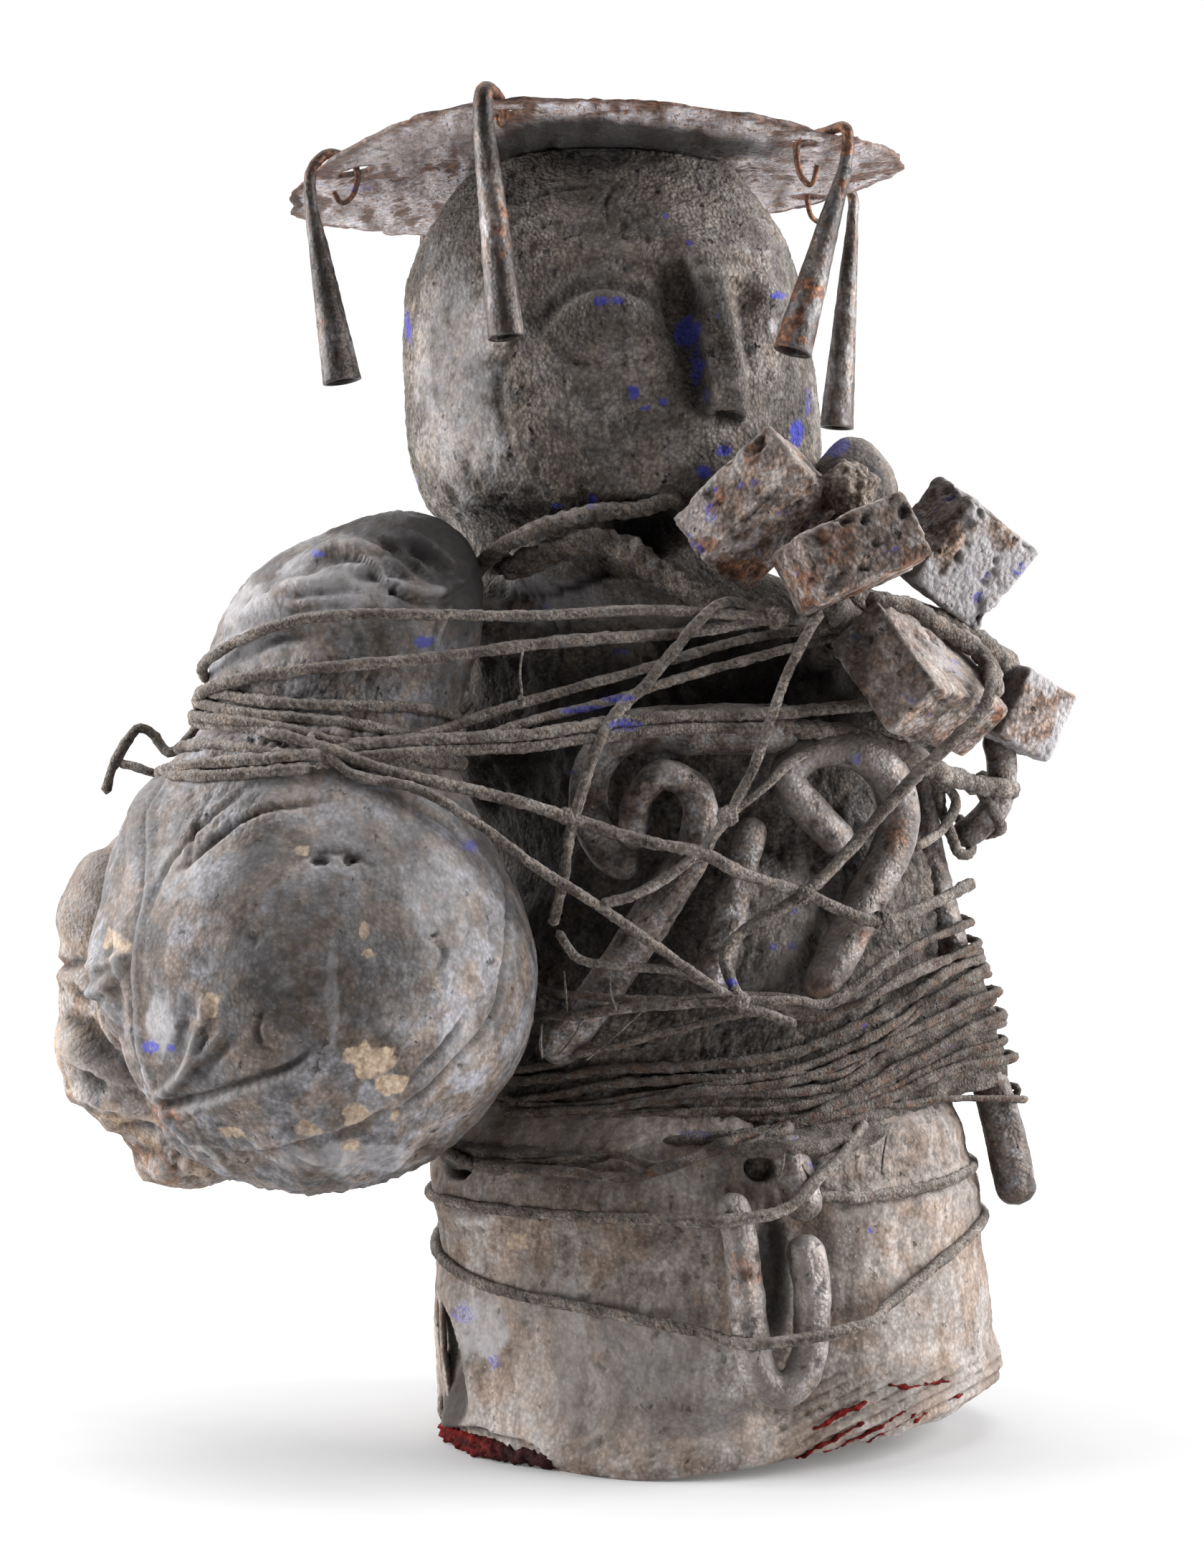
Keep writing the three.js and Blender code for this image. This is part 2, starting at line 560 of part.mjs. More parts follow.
const irons = Object.fromEntries(Object.keys(IRON_ROUTES).map((name) => [name, ironPiece(name)]));
const ironOrder = ['hook_right', 'hook_left', 'hook_link', 'dark_bar', 'long_rod', 'block_hook', 'u_hook', 'short_rod'];
const placedIrons = [];
for (const name of ironOrder) {
  const piece = cutBy(irons[name], placedIrons);
  placedIrons.push(irons[name]);
  add(name, piece, 0x5b514c, 0.85, 0.4);
}

const blockShapes = BLOCKS.map(block);
const placedBlocks = [...placedIrons];
BLOCKS.forEach(({ name, colour }, i) => {
  add(name, cutBy(blockShapes[i], placedBlocks), colour, 0.9, 0.2);
  placedBlocks.push(blockShapes[i]);
});
const ballPiece = lump([35, -46, 276], [13.5, 13.5, 20]);
add('ball_ended_piece', cutBy(ballPiece, placedBlocks), 0x4c4a55);
const brokenLump = lump([33, -65, 280], [8, 6, 7]);
add('broken_lump', cutBy(brokenLump, [...placedBlocks, ballPiece]), 0x7b6a5b);

const hardPieces = [...placedBlocks, ballPiece, brokenLump];
add('gourd', closedMesh(rawGourd), 0x6d655f);
const bundle = clothBundle();
add('cloth_bundle', cutBy(bundle, [rawGourd]), 0x6a5a4c);

const neckCord = tube(NECK_CORD, 2.4, { stepLength: 14 });
const chestStrap = tube(CHEST_STRAP, 3.2, { stepLength: 14 });
add('carved_figure', cutBy(rawFigure, [...hardPieces, rawGourd, bundle]), 0x5a4f48);
add('neck_cord', cutBy(neckCord, [rawFigure, rawGourd, ...hardPieces]), 0x5e5249);
add('chest_strap', cutBy(chestStrap, [rawFigure, rawGourd, neckCord, ...hardPieces]), 0x5e5249);

const redCloth = tube(RED_CLOTH, 3.4, { stepLength: 12, flat: 0.6 });
add('red_cloth', redCloth, 0x6e1f1c);
const knot = lump([-84, -14, 6], [3, 3, 3.4], 6);
add('string_knot', knot, 0x5e5249);
add('base_wrap', cutBy(rawWrap, [rawFigure, ...placedIrons, redCloth, knot, rawGourd, bundle]), 0x66594f);

const softSeats = [rawFigure, rawWrap, rawGourd, bundle, neckCord, chestStrap];
const belly = bellyBand();
add('belly_lashing', cutBy(belly, [...softSeats, ...hardPieces]), 0x5e534a);
const baseTurns = joined(BASE_TURNS.map((turn) => tube(turn.map(onWrap), CORD_RADIUS, { sides: 5, stepLength: 24 })));
add('base_lashing', cutBy(baseTurns, [...softSeats, ...hardPieces, belly]), 0x5e534a);
add('chest_lashing', cutBy(chestLashing(), [...softSeats, ...hardPieces, belly, baseTurns]), 0x5e534a);

export default group;
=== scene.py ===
"""Dressed model of the power figure: crusted wood, hide-covered gourd, irons and cord under a disc hat.

Lengths are millimetres until a mesh is made. Routes and spots called "seen" are (across, up) in the picture
plane through the trunk's middle, as the eye of the photograph sees them.
"""

from __future__ import annotations

import logging
import math
from collections.abc import Callable, Sequence
from dataclasses import dataclass
from enum import Enum

import bpy
import numpy as np
from bpy.types import Material, Node, NodeSocket, NodeTree
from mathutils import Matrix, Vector, geometry

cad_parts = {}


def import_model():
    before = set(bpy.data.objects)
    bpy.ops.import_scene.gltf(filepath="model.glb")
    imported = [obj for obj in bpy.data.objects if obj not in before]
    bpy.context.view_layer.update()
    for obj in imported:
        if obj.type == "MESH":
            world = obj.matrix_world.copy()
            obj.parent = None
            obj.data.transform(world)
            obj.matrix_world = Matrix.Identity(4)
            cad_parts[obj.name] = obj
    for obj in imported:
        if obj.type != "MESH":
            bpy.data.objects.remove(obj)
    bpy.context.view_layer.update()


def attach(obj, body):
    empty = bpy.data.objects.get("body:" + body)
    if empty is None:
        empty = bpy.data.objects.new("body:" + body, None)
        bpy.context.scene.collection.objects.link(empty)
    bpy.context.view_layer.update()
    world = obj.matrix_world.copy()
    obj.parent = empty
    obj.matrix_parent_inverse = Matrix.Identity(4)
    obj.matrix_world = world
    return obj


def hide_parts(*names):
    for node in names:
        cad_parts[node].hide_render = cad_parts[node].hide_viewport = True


Array = np.ndarray
RGB = tuple[float, float, float]
Route = Sequence[Sequence[float]]

LOG = logging.getLogger("power_figure")
MM = 0.001
EYE = (-35.2, -950.0, 195.0)  # where the photograph was taken from
LENS = 71.1
SENSOR = 36.0
CORD_RADIUS = 2.1
FRONT = -math.pi / 2  # the direction that faces the eye


# Smooth and cellular noise


def scattered(at: Array, seed: int) -> Array:
    """Repeatable numbers from 0 to 1 at whole-number places.

    Args:
        at: whole-number places, last axis x, y, z.
        seed: which numbers.

    Returns:
        One number for each place.
    """
    ix, iy, iz = (at[..., k] for k in range(3))
    mixed = (ix * 374761393 + iy * 668265263 + iz * 144066301 + seed * 97463477) & 0xFFFFFFFF
    mixed = ((mixed ^ (mixed >> 13)) * 1274126177) & 0xFFFFFFFF
    return ((mixed ^ (mixed >> 16)) & 0xFFFFFF) / 0xFFFFFF


def noise(points: Array, size: float, seed: int = 0) -> Array:
    """Smooth noise from -1 to 1.

    Args:
        points: places, in mm.
        size: width of one lump, in mm.
        seed: which noise.

    Returns:
        One value for each point.
    """
    place = points / size
    base = np.floor(place).astype(np.int64)
    part = place - base
    ease = part**3 * (part * (part * 6 - 15) + 10)
    total = np.zeros(points.shape[:-1])
    for corner in np.ndindex(2, 2, 2):
        weight = np.ones_like(total)
        for axis, far in enumerate(corner):
            weight *= ease[..., axis] if far else 1 - ease[..., axis]
        at = base + np.array(corner)
        total += weight * scattered(at, seed)
    return 2 * total - 1


def fractal(points: Array, size: float, seed: int = 0, octaves: int = 4, gain: float = 0.5) -> Array:
    """Noise with finer noise on it.

    Args:
        points: places, in mm.
        size: width of the largest lumps, in mm.
        seed: which noise.
        octaves: how many sizes, each half the last.
        gain: strength of each size beside the one before.

    Returns:
        One value for each point, about -1 to 1.
    """
    turn = np.array([[0.80, 0.36, -0.48], [-0.60, 0.48, -0.64], [0.0, 0.80, 0.60]])
    total, share, reach = 0.0, 1.0, 0.0
    place = points
    for octave in range(octaves):
        total = total + share * noise(place, size, seed + 17 * octave)
        reach += share
        share *= gain
        place = place @ turn * 2.03 + 7.7
    return total / reach * 1.5


def cells(points: Array, size: float, seed: int = 0) -> tuple[Array, Array]:
    """Distances to the two nearest of a set of scattered points.

    Args:
        points: places, in mm.
        size: usual distance between the scattered points, in mm.
        seed: which set.

    Returns:
        The nearest and second nearest distance, in cell sizes.
    """
    place = points / size
    base = np.floor(place).astype(np.int64)
    nearest = np.full(points.shape[:-1], 9.0)
    second = nearest.copy()
    for corner in np.ndindex(3, 3, 3):
        at = base + np.array(corner) - 1
        spot = np.stack([scattered(at, seed + k) for k in (1, 2, 3)], axis=-1)
        gap = np.linalg.norm(at + spot - place, axis=-1)
        second = np.minimum(second, np.maximum(nearest, gap))
        nearest = np.minimum(nearest, gap)
    return nearest, second


def grains(points: Array, size: float, seed: int = 0) -> Array:
    """Rounded grains from 0 between them to 1 on top of each."""
    return clipped(1 - cells(points, size, seed)[0] * 1.25) ** 0.6


# Shapes that relief is put together from


def clipped(value: Array | float) -> Array:
    """The value kept from 0 to 1."""
    return np.clip(value, 0, 1)


def bump(distance: Array | float, half_width: float) -> Array:
    """A smooth bump of height 1 that falls to 0 at the half width."""
    return (1 - np.minimum(np.abs(distance) / half_width, 1) ** 2) ** 2


def step(value: Array, low: float, high: float) -> Array:
    """Smooth change from 0 at low to 1 at high."""
    part = clipped((value - low) / (high - low))
    return part * part * (3 - 2 * part)


def wrapped(angle: Array) -> Array:
    """The same angle between -pi and pi."""
    return np.arctan2(np.sin(angle), np.cos(angle))


def seen(points: Array) -> Array:
    """Where points appear in the picture plane.

    Args:
        points: places in mm, last axis x, y, z.

    Returns:
        (across, up) in mm, last axis of two.
    """
    scale = -EYE[1] / (points[..., 1] - EYE[1])
    across = EYE[0] + (points[..., 0] - EYE[0]) * scale
    return np.stack([across, EYE[2] + (points[..., 2] - EYE[2]) * scale], -1)


def along_route(at: Array, route: Route,
                values: Sequence[Sequence[float]]) -> tuple[Array, Array, list[Array]]:
    """Distance to a route, which side of it, and values carried along it.

    Args:
        at: seen places.
        route: seen points.
        values: rows with one number for each point of the route.

    Returns:
        The distance, the side (1 is left of the way it runs) and each row's value at the nearest place.
    """
    curve = smooth_route(route, 1.6)
    marks = np.linspace(0, 1, len(curve))
    knots = lengths(np.asarray(route, float))
    knots /= knots[-1]
    low, high = curve.min(0) - 24, curve.max(0) + 24
    flat = at.reshape(-1, 2)
    inside = np.flatnonzero(((flat > low) & (flat < high)).all(-1))
    best = np.full(len(flat), 1e6)
    side = np.ones(len(flat))
    mark = np.zeros(len(flat))
    here = flat[inside]
    near = np.full(len(here), 1e6)
    for i in range(len(curve) - 1):
        way = curve[i + 1] - curve[i]
        off = here - curve[i]
        t = clipped(off @ way / (way @ way))
        gap = np.linalg.norm(off - t[:, None] * way, axis=1)
        better = gap < near
        near = np.where(better, gap, near)
        turn = way[0] * off[:, 1] - way[1] * off[:, 0]
        side[inside[better]] = np.sign(turn[better] + 1e-12)
        mark[inside[better]] = marks[i] + t[better] * (marks[i + 1] - marks[i])
    best[inside] = near
    carried = [np.interp(mark, knots, row).reshape(at.shape[:-1]) for row in values]
    return best.reshape(at.shape[:-1]), side.reshape(at.shape[:-1]), carried


def ridge(at: Array, route: Route, height: float, width: float, ends: float = 0.3,
          power: float = 2.0) -> Array:
    """A raised line, or a crease where the height is below 0.

    Args:
        at: seen places.
        route: seen points along it.
        height: rise in its middle part, in mm.
        width: half width, in mm.
        ends: share of the height left at its ends.
        power: how steep its sides are; less is fuller.

    Returns:
        The rise at each place.
    """
    shape = [ends] + [1.0] * (len(route) - 2) + [ends]
    gap, _, (rise,) = along_route(at, route, [shape])
    return height * rise * (1 - np.minimum(gap / width, 1) ** 2) ** power


def ledge(at: Array, route: Route, height: float, reach: float, sharp: float = 0.7) -> Array:
    """A lapped edge: up by the height on the left of the route, sinking back over the reach.

    Args:
        at: seen places.
        route: seen points along the edge.
        height: step in mm.
        reach: how far the rise goes back, in mm.
        sharp: width of the step itself, in mm.

    Returns:
        The rise at each place.
    """
    shape = [0.0] + [1.0] * (len(route) - 2) + [0.0]
    gap, side, (rise,) = along_route(at, route, [shape])
    signed = gap * side
    fall = clipped(1 - np.maximum(signed, 0) / reach) ** 1.5
    return height * rise * step(signed, -sharp / 2, sharp / 2) * fall


def spots(at: Array, rows: Route, ragged: Array | float = 0.0) -> Array:
    """Oval patches from 0 to 1.

    Args:
        at: seen places.
        rows: (across, up, half width, half height, strength) of each.
        ragged: noise that breaks their edges.

    Returns:
        The strongest patch at each place.
    """
    total = np.zeros(at.shape[:-1])
    for across, up, wide, high, strength in rows:
        reach = ((at[..., 0] - across) / wide) ** 2 + ((at[..., 1] - up) / high) ** 2
        total = np.maximum(total, strength * step(1.25 - reach + ragged, 0.0, 1.0))
    return total


# Bodies lofted through levels: rows of [z, centre x, centre y, half width, half depth]


def level_at(levels: Route, z: Array) -> list[Array]:
    """Smoothly joined levels.

    Args:
        levels: rows of [z, centre x, centre y, half width, half depth].
        z: heights.

    Returns:
        Centre x, centre y, half width and half depth at each height.
    """
    table = np.asarray(levels, float)
    last = len(table) - 1
    i = np.clip(np.searchsorted(table[:, 0], z, side="left") - 1, 0, last - 1)
    low, high = table[i], table[i + 1]
    before, after = table[np.maximum(i - 1, 0)], table[np.minimum(i + 2, last)]
    span = (high - low)[..., :1]
    t = clipped((np.asarray(z)[..., None] - low[..., :1]) / span)
    slope_in = (high - before) / np.maximum((high - before)[..., :1], 1e-6) * span
    slope_out = (after - low) / np.maximum((after - low)[..., :1], 1e-6) * span
    mixed = (2 * t**3 - 3 * t**2 + 1) * low + (t**3 - 2 * t**2 + t) * slope_in
    mixed = mixed + (3 * t**2 - 2 * t**3) * high + (t**3 - t**2) * slope_out
    return [mixed[..., k] for k in range(1, 5)]


def squareness(angle: Array, power: float) -> Array:
    """Radius of a unit rounded square in that direction."""
    return (np.abs(np.cos(angle)) ** power + np.abs(np.sin(angle)) ** power) ** (-1 / power)


def loft(levels: Route, angle: Array, z: Array, power: float, rise: Array | float = 0.0) -> Array:
    """Points on the body through the levels.

    Args:
        levels: rows of [z, centre x, centre y, half width, half depth].
        angle: directions from the body's middle line.
        z: heights.
        power: 2 is oval, more is squarer.
        rise: added to the radius.

    Returns:
        The points, last axis x, y, z.
    """
    x, y, wide, deep = level_at(levels, z)
    rim = squareness(angle, power)
    across = x + (wide * rim + rise) * np.cos(angle)
    return np.stack([across, y + (deep * rim + rise) * np.sin(angle), z + 0 * angle], -1)


def even_heights(levels: Route, low: float, high: float, count: int, dense_above: float = 1e9) -> Array:
    """Heights that lie evenly along the body's side.

    Args:
        levels: the body's levels.
        low: first height.
        high: last height.
        count: how many.
        dense_above: above this height they lie 1.7 times as close.

    Returns:
        The heights.
    """
    fine = np.linspace(low, high, 3000)
    _, _, wide, deep = level_at(levels, fine)
    pace = np.hypot(np.gradient(fine), np.gradient((wide + deep) / 2)) * np.where(fine > dense_above, 1.7, 1)
    walked = np.cumsum(pace)
    return np.interp(np.linspace(walked[0], walked[-1], count), walked, fine)


def angles_round(count: int, lean: float = 0.5) -> Array:
    """Directions all round, closer together at the front."""
    turn = np.linspace(0, 2 * np.pi, count, endpoint=False)
    return turn - lean * np.sin(turn - FRONT)


def round_grid(heights: Array, columns: int) -> tuple[Array, Array]:
    """Directions and heights of a body's points.

    Args:
        heights: height of each row.
        columns: points in each row.

    Returns:
        Both as (rows, columns).
    """
    z = heights[:, None]
    angle = angles_round(columns)[None, :] + 0 * z
    return angle, z + 0 * angle


def normals_of(points: Array) -> Array:
    """Outward directions of a sheet whose columns close on themselves.

    Args:
        points: (rows, columns, 3), rows going up and columns anticlockwise from above.

    Returns:
        Unit directions of the same shape.
    """
    across = np.roll(points, -1, axis=1) - np.roll(points, 1, axis=1)
    normal = np.cross(across, np.gradient(points, axis=0))
    return normal / np.maximum(np.linalg.norm(normal, axis=-1, keepdims=True), 1e-9)


def softened(values: Array, times: int) -> Array:
    """The values averaged with their neighbours over a sheet whose columns close.

    Args:
        values: one for each point of the sheet.
        times: how often.

    Returns:
        The softened values.
    """
    for _ in range(times):
        padded = np.pad(values, ((1, 1), (0, 0)), mode="edge")
        beside = np.roll(values, 1, 1) + np.roll(values, -1, 1) + padded[:-2] + padded[2:]
        values = values * 0.3 + beside * 0.175
    return values


def low_and_high(total: Array, times: int, deep: float, high: float) -> tuple[Array, Array]:
    """Hollows, which are later darkened as painted shade, and worn high places of a relief, from 0 to 1."""
    off = total - softened(total, times)
    return clipped(-off / deep), clipped(off / high)


def ball(rows: int, columns: int, gap: float, centre: Sequence[float], half: Sequence[float]) -> Array:
    """Points on an oval ball that is open at top and bottom.

    Args:
        rows: rings from bottom to top.
        columns: points in a ring.
        gap: half angle of the openings.
        centre: its middle, in mm.
        half: its half sizes, in mm.

    Returns:
        The points as (rows, columns, 3).
    """
    rise = np.linspace(gap - np.pi / 2, np.pi / 2 - gap, rows)[:, None]
    turn = np.linspace(0, 2 * np.pi, columns, endpoint=False)[None, :]
    level = np.cos(rise)
    round_ball = np.stack([level * np.cos(turn), level * np.sin(turn), np.sin(rise) + 0 * turn], -1)
    return np.array(centre) + round_ball * np.array(half)


# Routes and round sections


def lengths(path: Array) -> Array:
    """Length so far at each point of a path."""
    return np.concatenate([[0], np.cumsum(np.linalg.norm(np.diff(path, axis=0), axis=1))])


def smooth_route(points: Route, spacing: float) -> Array:
    """Even points along the smooth curve through the given ones.

    Args:
        points: two or more points.
        spacing: distance between the even points, in mm.

    Returns:
        The even points.
    """
    p = np.asarray(points, float)
    p = np.vstack([2 * p[0] - p[1], p, 2 * p[-1] - p[-2]])
    t = np.linspace(0, 1, 20, endpoint=False)[:, None]
    bends = []
    for a, b, c, d in zip(p, p[1:], p[2:], p[3:]):
        first, middle, last = (max(np.linalg.norm(v) ** 0.5, 1e-4) for v in (b - a, c - b, d - c))
        leave = ((b - a) / first - (c - a) / (first + middle) + (c - b) / middle) * middle
        enter = ((c - b) / middle - (d - b) / (middle + last) + (d - c) / last) * middle
        bends.append((2 * t**3 - 3 * t**2 + 1) * b + (t**3 - 2 * t**2 + t) * leave
                     + (3 * t**2 - 2 * t**3) * c + (t**3 - t**2) * enter)
    fine = np.vstack([*bends, p[-2:-1]])
    walked = lengths(fine)
    even = np.linspace(0, walked[-1], max(int(round(walked[-1] / spacing)), 2) + 1)
    return np.stack([np.interp(even, walked, fine[:, k]) for k in range(p.shape[1])], axis=1)


def crosswise(path: Array) -> tuple[Array, Array, Array]:
    """Length so far and two directions square to a path, without twist.

    Args:
        path: the points of the path.

    Returns:
        Length at each point and the two directions there.
    """
    way = np.gradient(path, axis=0)
    way /= np.linalg.norm(way, axis=1, keepdims=True)
    first = np.zeros_like(path)
    side = np.cross(way[0], (0.31, 0.17, 0.93))
    for i, forward in enumerate(way):
        side = side - forward * (side @ forward)
        side = side / np.linalg.norm(side)
        first[i] = side
    return lengths(path), first, np.cross(way, first)


def tube(path: Array, radius: Array | float, sides: int,
         section: Callable[[Array, Array], Array] | None = None,
         round_ends: bool = True) -> tuple[Array, Array]:
    """A closed round body along a path.

    Args:
        path: the points of its middle.
        radius: one radius, or one for each point.
        sides: points round it.
        section: scales the radius at (length, turn).
        round_ends: the ends close as half balls, not flat.

    Returns:
        Its rings, the first and last drawn in to a point, and the directions out from the path.
    """
    walked, first, second = crosswise(path)
    turn = np.linspace(0, 2 * np.pi, sides, endpoint=False)[None, :]
    size = np.broadcast_to(np.asarray(radius, float), walked.shape)[:, None] * np.ones_like(turn)
    if section is not None:
        size = size * section(walked[:, None], turn)
    if round_ends:
        from_end = np.minimum(walked, walked[-1] - walked)[:, None]
        size = size * np.sqrt(np.clip(1 - (1 - np.minimum(from_end / size, 1)) ** 2, 0.0009, 1))
    out = np.cos(turn)[..., None] * first[:, None] + np.sin(turn)[..., None] * second[:, None]
    rings = path[:, None] + out * size[..., None]
    ends = [np.repeat(path[i][None, None], sides, 1) for i in (0, -1)]
    return np.concatenate([ends[0], rings, ends[1]]), np.concatenate([0 * out[:1], out, 0 * out[:1]])


# Making meshes


def grid_faces(index: Array) -> Array:
    """Four-cornered faces between neighbours of a grid of point numbers."""
    return np.stack([index[:-1, :-1], index[1:, :-1], index[1:, 1:], index[:-1, 1:]], -1).reshape(-1, 4)


@dataclass
class Shell:
    """Points, faces and surface marks that are put together into one mesh."""

    points: Array
    faces: list[tuple[int, ...]]
    traces: Array
    relief: Array

    @classmethod
    def from_rings(cls, rings: Array, traces: Array | None = None, relief: Array | None = None) -> Shell:
        """A closed body from rings that close on themselves, with a lid at each end.

        Args:
            rings: (rows, columns, 3) points.
            traces: (rows, columns, 4) strength of blue, rust, pale and tan.
            relief: (rows, columns, 4) strength of hollow, worn, smooth and dark; hollow and dark paint shade
                as well as dirt.

        Returns:
            The shell.
        """
        rows, columns = rings.shape[:2]
        count = rows * columns
        ring = np.arange(columns)
        after = np.roll(ring, -1)
        start = np.arange(rows - 1)[:, None] * columns
        quads = np.stack([start + ring, start + after, start + columns + after, start + columns + ring], -1)
        below = np.stack([np.full(columns, count), after, ring], 1)
        above = np.stack([np.full(columns, count + 1), count - columns + ring, count - columns + after], 1)
        none = np.zeros((rows, columns, 4))
        given = (rings, none if traces is None else traces, none if relief is None else relief)
        points, marks, forms = (
            np.vstack([full.reshape(count, -1), full[0].mean(0), full[-1].mean(0)]) for full in given)
        return cls(points, quads.reshape(-1, 4).tolist() + below.tolist() + above.tolist(), marks, forms)

    @classmethod
    def joined(cls, shells: Sequence[Shell]) -> Shell:
        """Several shells as one.

        Args:
            shells: the shells.

        Returns:
            One shell of all their faces.
        """
        faces, start = [], 0
        for shell in shells:
            faces += [tuple(i + start for i in face) for face in shell.faces]
            start += len(shell.points)
        points = np.vstack([shell.points for shell in shells])
        traces = np.vstack([shell.traces for shell in shells])
        return cls(points, faces, traces, np.vstack([shell.relief for shell in shells]))


def make_piece(name: str, shell: Shell, material: Material, slot: str, *nodes: str) -> None:
    """Makes a mesh piece that stands for CAD nodes and rides with the object.

    Args:
        name: the piece's name.
        shell: its shape and marks, in mm.
        material: its material.
        slot: a material slot name, which is not used.
        nodes: the CAD nodes that it stands for.
    """
    mesh = bpy.data.meshes.new(name)
    mesh.from_pydata((shell.points * MM).tolist(), [], shell.faces)
    for label in ("traces", "relief"):
        layer = mesh.attributes.new(label, "FLOAT_COLOR", "POINT")
        layer.data.foreach_set("color", clipped(getattr(shell, label)).ravel())
    mesh.validate()
    mesh.update()
    mesh.shade_smooth()
    mesh.materials.append(material)
    piece = bpy.data.objects.new(name, mesh)
    bpy.context.scene.collection.objects.link(piece)
    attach(piece, "root")
    if nodes:
        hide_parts(*nodes)
    LOG.info("%s: %d faces", name, len(mesh.polygons))


# Pigment, rust and bloom that show in the photograph: (across, up, half width, half height, strength)

BLUE_SPOTS = ((-9, 334, 4.6, 6, 1), (-6.4, 325, 2.8, 7, 0.7), (-3.6, 314, 1.4, 4, 0.4),
    (-35.6, 343.2, 2.4, 1.8, 0.8), (-30.4, 343.2, 2.2, 1.6, 0.8), (-25.7, 316.1, 2.0, 3.1, 0.9),
    (-21.8, 310.4, 1.8, 1.2, 0.9), (-15.8, 369.6, 1.2, 0.9, 0.9), (-8.4, 361, 1.2, 1.2, 0.8),
    (-16.3, 312.6, 1.2, 1.2, 0.8), (0.2, 339, 1, 1, 0.8), (-38.3, 282, 1.6, 2.4, 0.9),
    (-49.1, 280.2, 2.6, 1.0, 0.7), (24.4, 303, 2.4, 5, 0.9), (-4, 291, 2.8, 3, 0.9),
    (2.5, 297, 3.4, 2.2, 0.9), (-2, 279, 2, 4, 0.5), (28, 312, 1.5, 6, 0.4), (-95, 334.4, 1.6, 6, 0.8),
    (18.9, 344.9, 3.0, 1.3, 0.8), (-75.9, 176, 3, 3.2, 0.6), (-173.4, 114.4, 3.4, 2.2, 0.7),
    (-167.6, 113.9, 2, 1.8, 0.7), (-122.1, 265.5, 2.6, 1.4, 0.9), (-90.2, 238.7, 3.6, 2.6, 0.9),
    (-40.7, 217.8, 9, 1.8, 0.8), (-31, 221.4, 6, 1.6, 1), (-28, 213, 6, 2, 0.6), (-45, 198.5, 1.4, 1.6, 0.8),
    (17.6, 144.7, 2, 1.4, 0.9), (23.1, 145.2, 1.2, 1, 0.9), (4.4, 134.2, 2.8, 1.3, 1),
    (24, 156, 1.2, 1, 0.9), (43, 203, 1.6, 2.2, 0.6), (-78, 32, 4, 4, 0.4), (-68.2, 17.6, 3, 3, 0.4),
    (-7, 88, 6, 1.4, 0.5), (28, 86, 5, 2.4, 0.6), (30, 78, 3, 2, 0.5), (47, 58, 1.2, 1.2, 0.9),
    (72, 114, 1.4, 1.2, 0.8), (45, 121, 1.2, 1, 0.8), (-30, 222, 3, 1.4, 0.7), (-52, 249, 2.4, 1.0, 0.8),
    (-29, 236, 3, 0.9, 0.8), (-135, 372, 3, 1.0, 0.5), (-109, 378, 6, 1.6, 0.35), (-128, 383, 5, 1.4, 0.3),
    (-30, 391, 8, 1.4, 0.3))
RUST_SPOTS = ((10.7, 295.8, 3.2, 3.6, 1), (-0.6, 282.2, 3.4, 5, 0.9), (-3.5, 268.6, 6, 2.4, 1),
    (8.8, 260.5, 9, 4, 0.8), (37, 269, 8, 8, 0.6), (29.5, 257.7, 6, 5, 0.6), (86, 216.2, 3, 4, 0.8),
    (-27, 207, 4, 3, 0.5), (-60, 250, 6, 2, 0.9))
# Some pale patches are painted light, as marked below.
PALE_SPOTS = ((9.9, 358.6, 2.0, 1.1, 0.8), (15.8, 357.9, 1.6, 1.1, 0.8), (17.2, 335.5, 1.6, 2.4, 0.7),
    (-66, 299.2, 2.6, 3.5, 0.8), (-79, 316, 15, 44, 0.45), (-71, 302, 6, 20, 0.5), (-82, 346, 10, 18, 0.35),
    # painted light: (18, 352), (24, 318) and (6, 360) light the face's right side; (-122, 258), (-142, 246),
    # (-134, 232) and (-112, 256) light the top of the gourd's upper lobe
    (18, 352, 12, 18, 0.25), (24, 318, 8, 20, 0.2), (6, 360, 14, 12, 0.15), (-122, 258, 15, 8, 0.6),
    (-142, 246, 12, 12, 0.65), (-134, 232, 16, 9, 0.4), (-170.5, 122, 5, 12, 0.7), (-84, 160, 12, 24, 0.32),
    (-112, 80, 26, 6, 0.55), (-164, 170, 9, 12, 0.35), (-112, 182, 22, 8, 0.25), (-118, 128, 2.4, 18, 0.45),
    (-78, 118, 8, 20, 0.35), (-96, 122, 14, 10, 0.3), (-150, 140, 8, 14, 0.3), (-38, 210, 6, 14, 0.55),
    (-14, 206, 6, 8, 0.4), (43, 186, 4, 14, 0.35), (-72, 27, 8.5, 12, 0.7), (-46, 22, 7, 26, 0.45),
    (62, 27, 6, 24, 0.2), (-22, 18, 24, 18, 0.4), (-13, 20, 5, 24, 0.4), (28, 40, 4, 26, 0.25),
    # painted light: (-50, 252) lightens the shoulder mass under the chin, which lies in shade
    (26, 178, 4, 4, 0.3), (72, 60, 9, 20, 0.1), (-50, 252, 20, 9, 0.75), (-112, 256, 20, 9, 0.6),
    (-188, 106, 9, 13, 0.6))
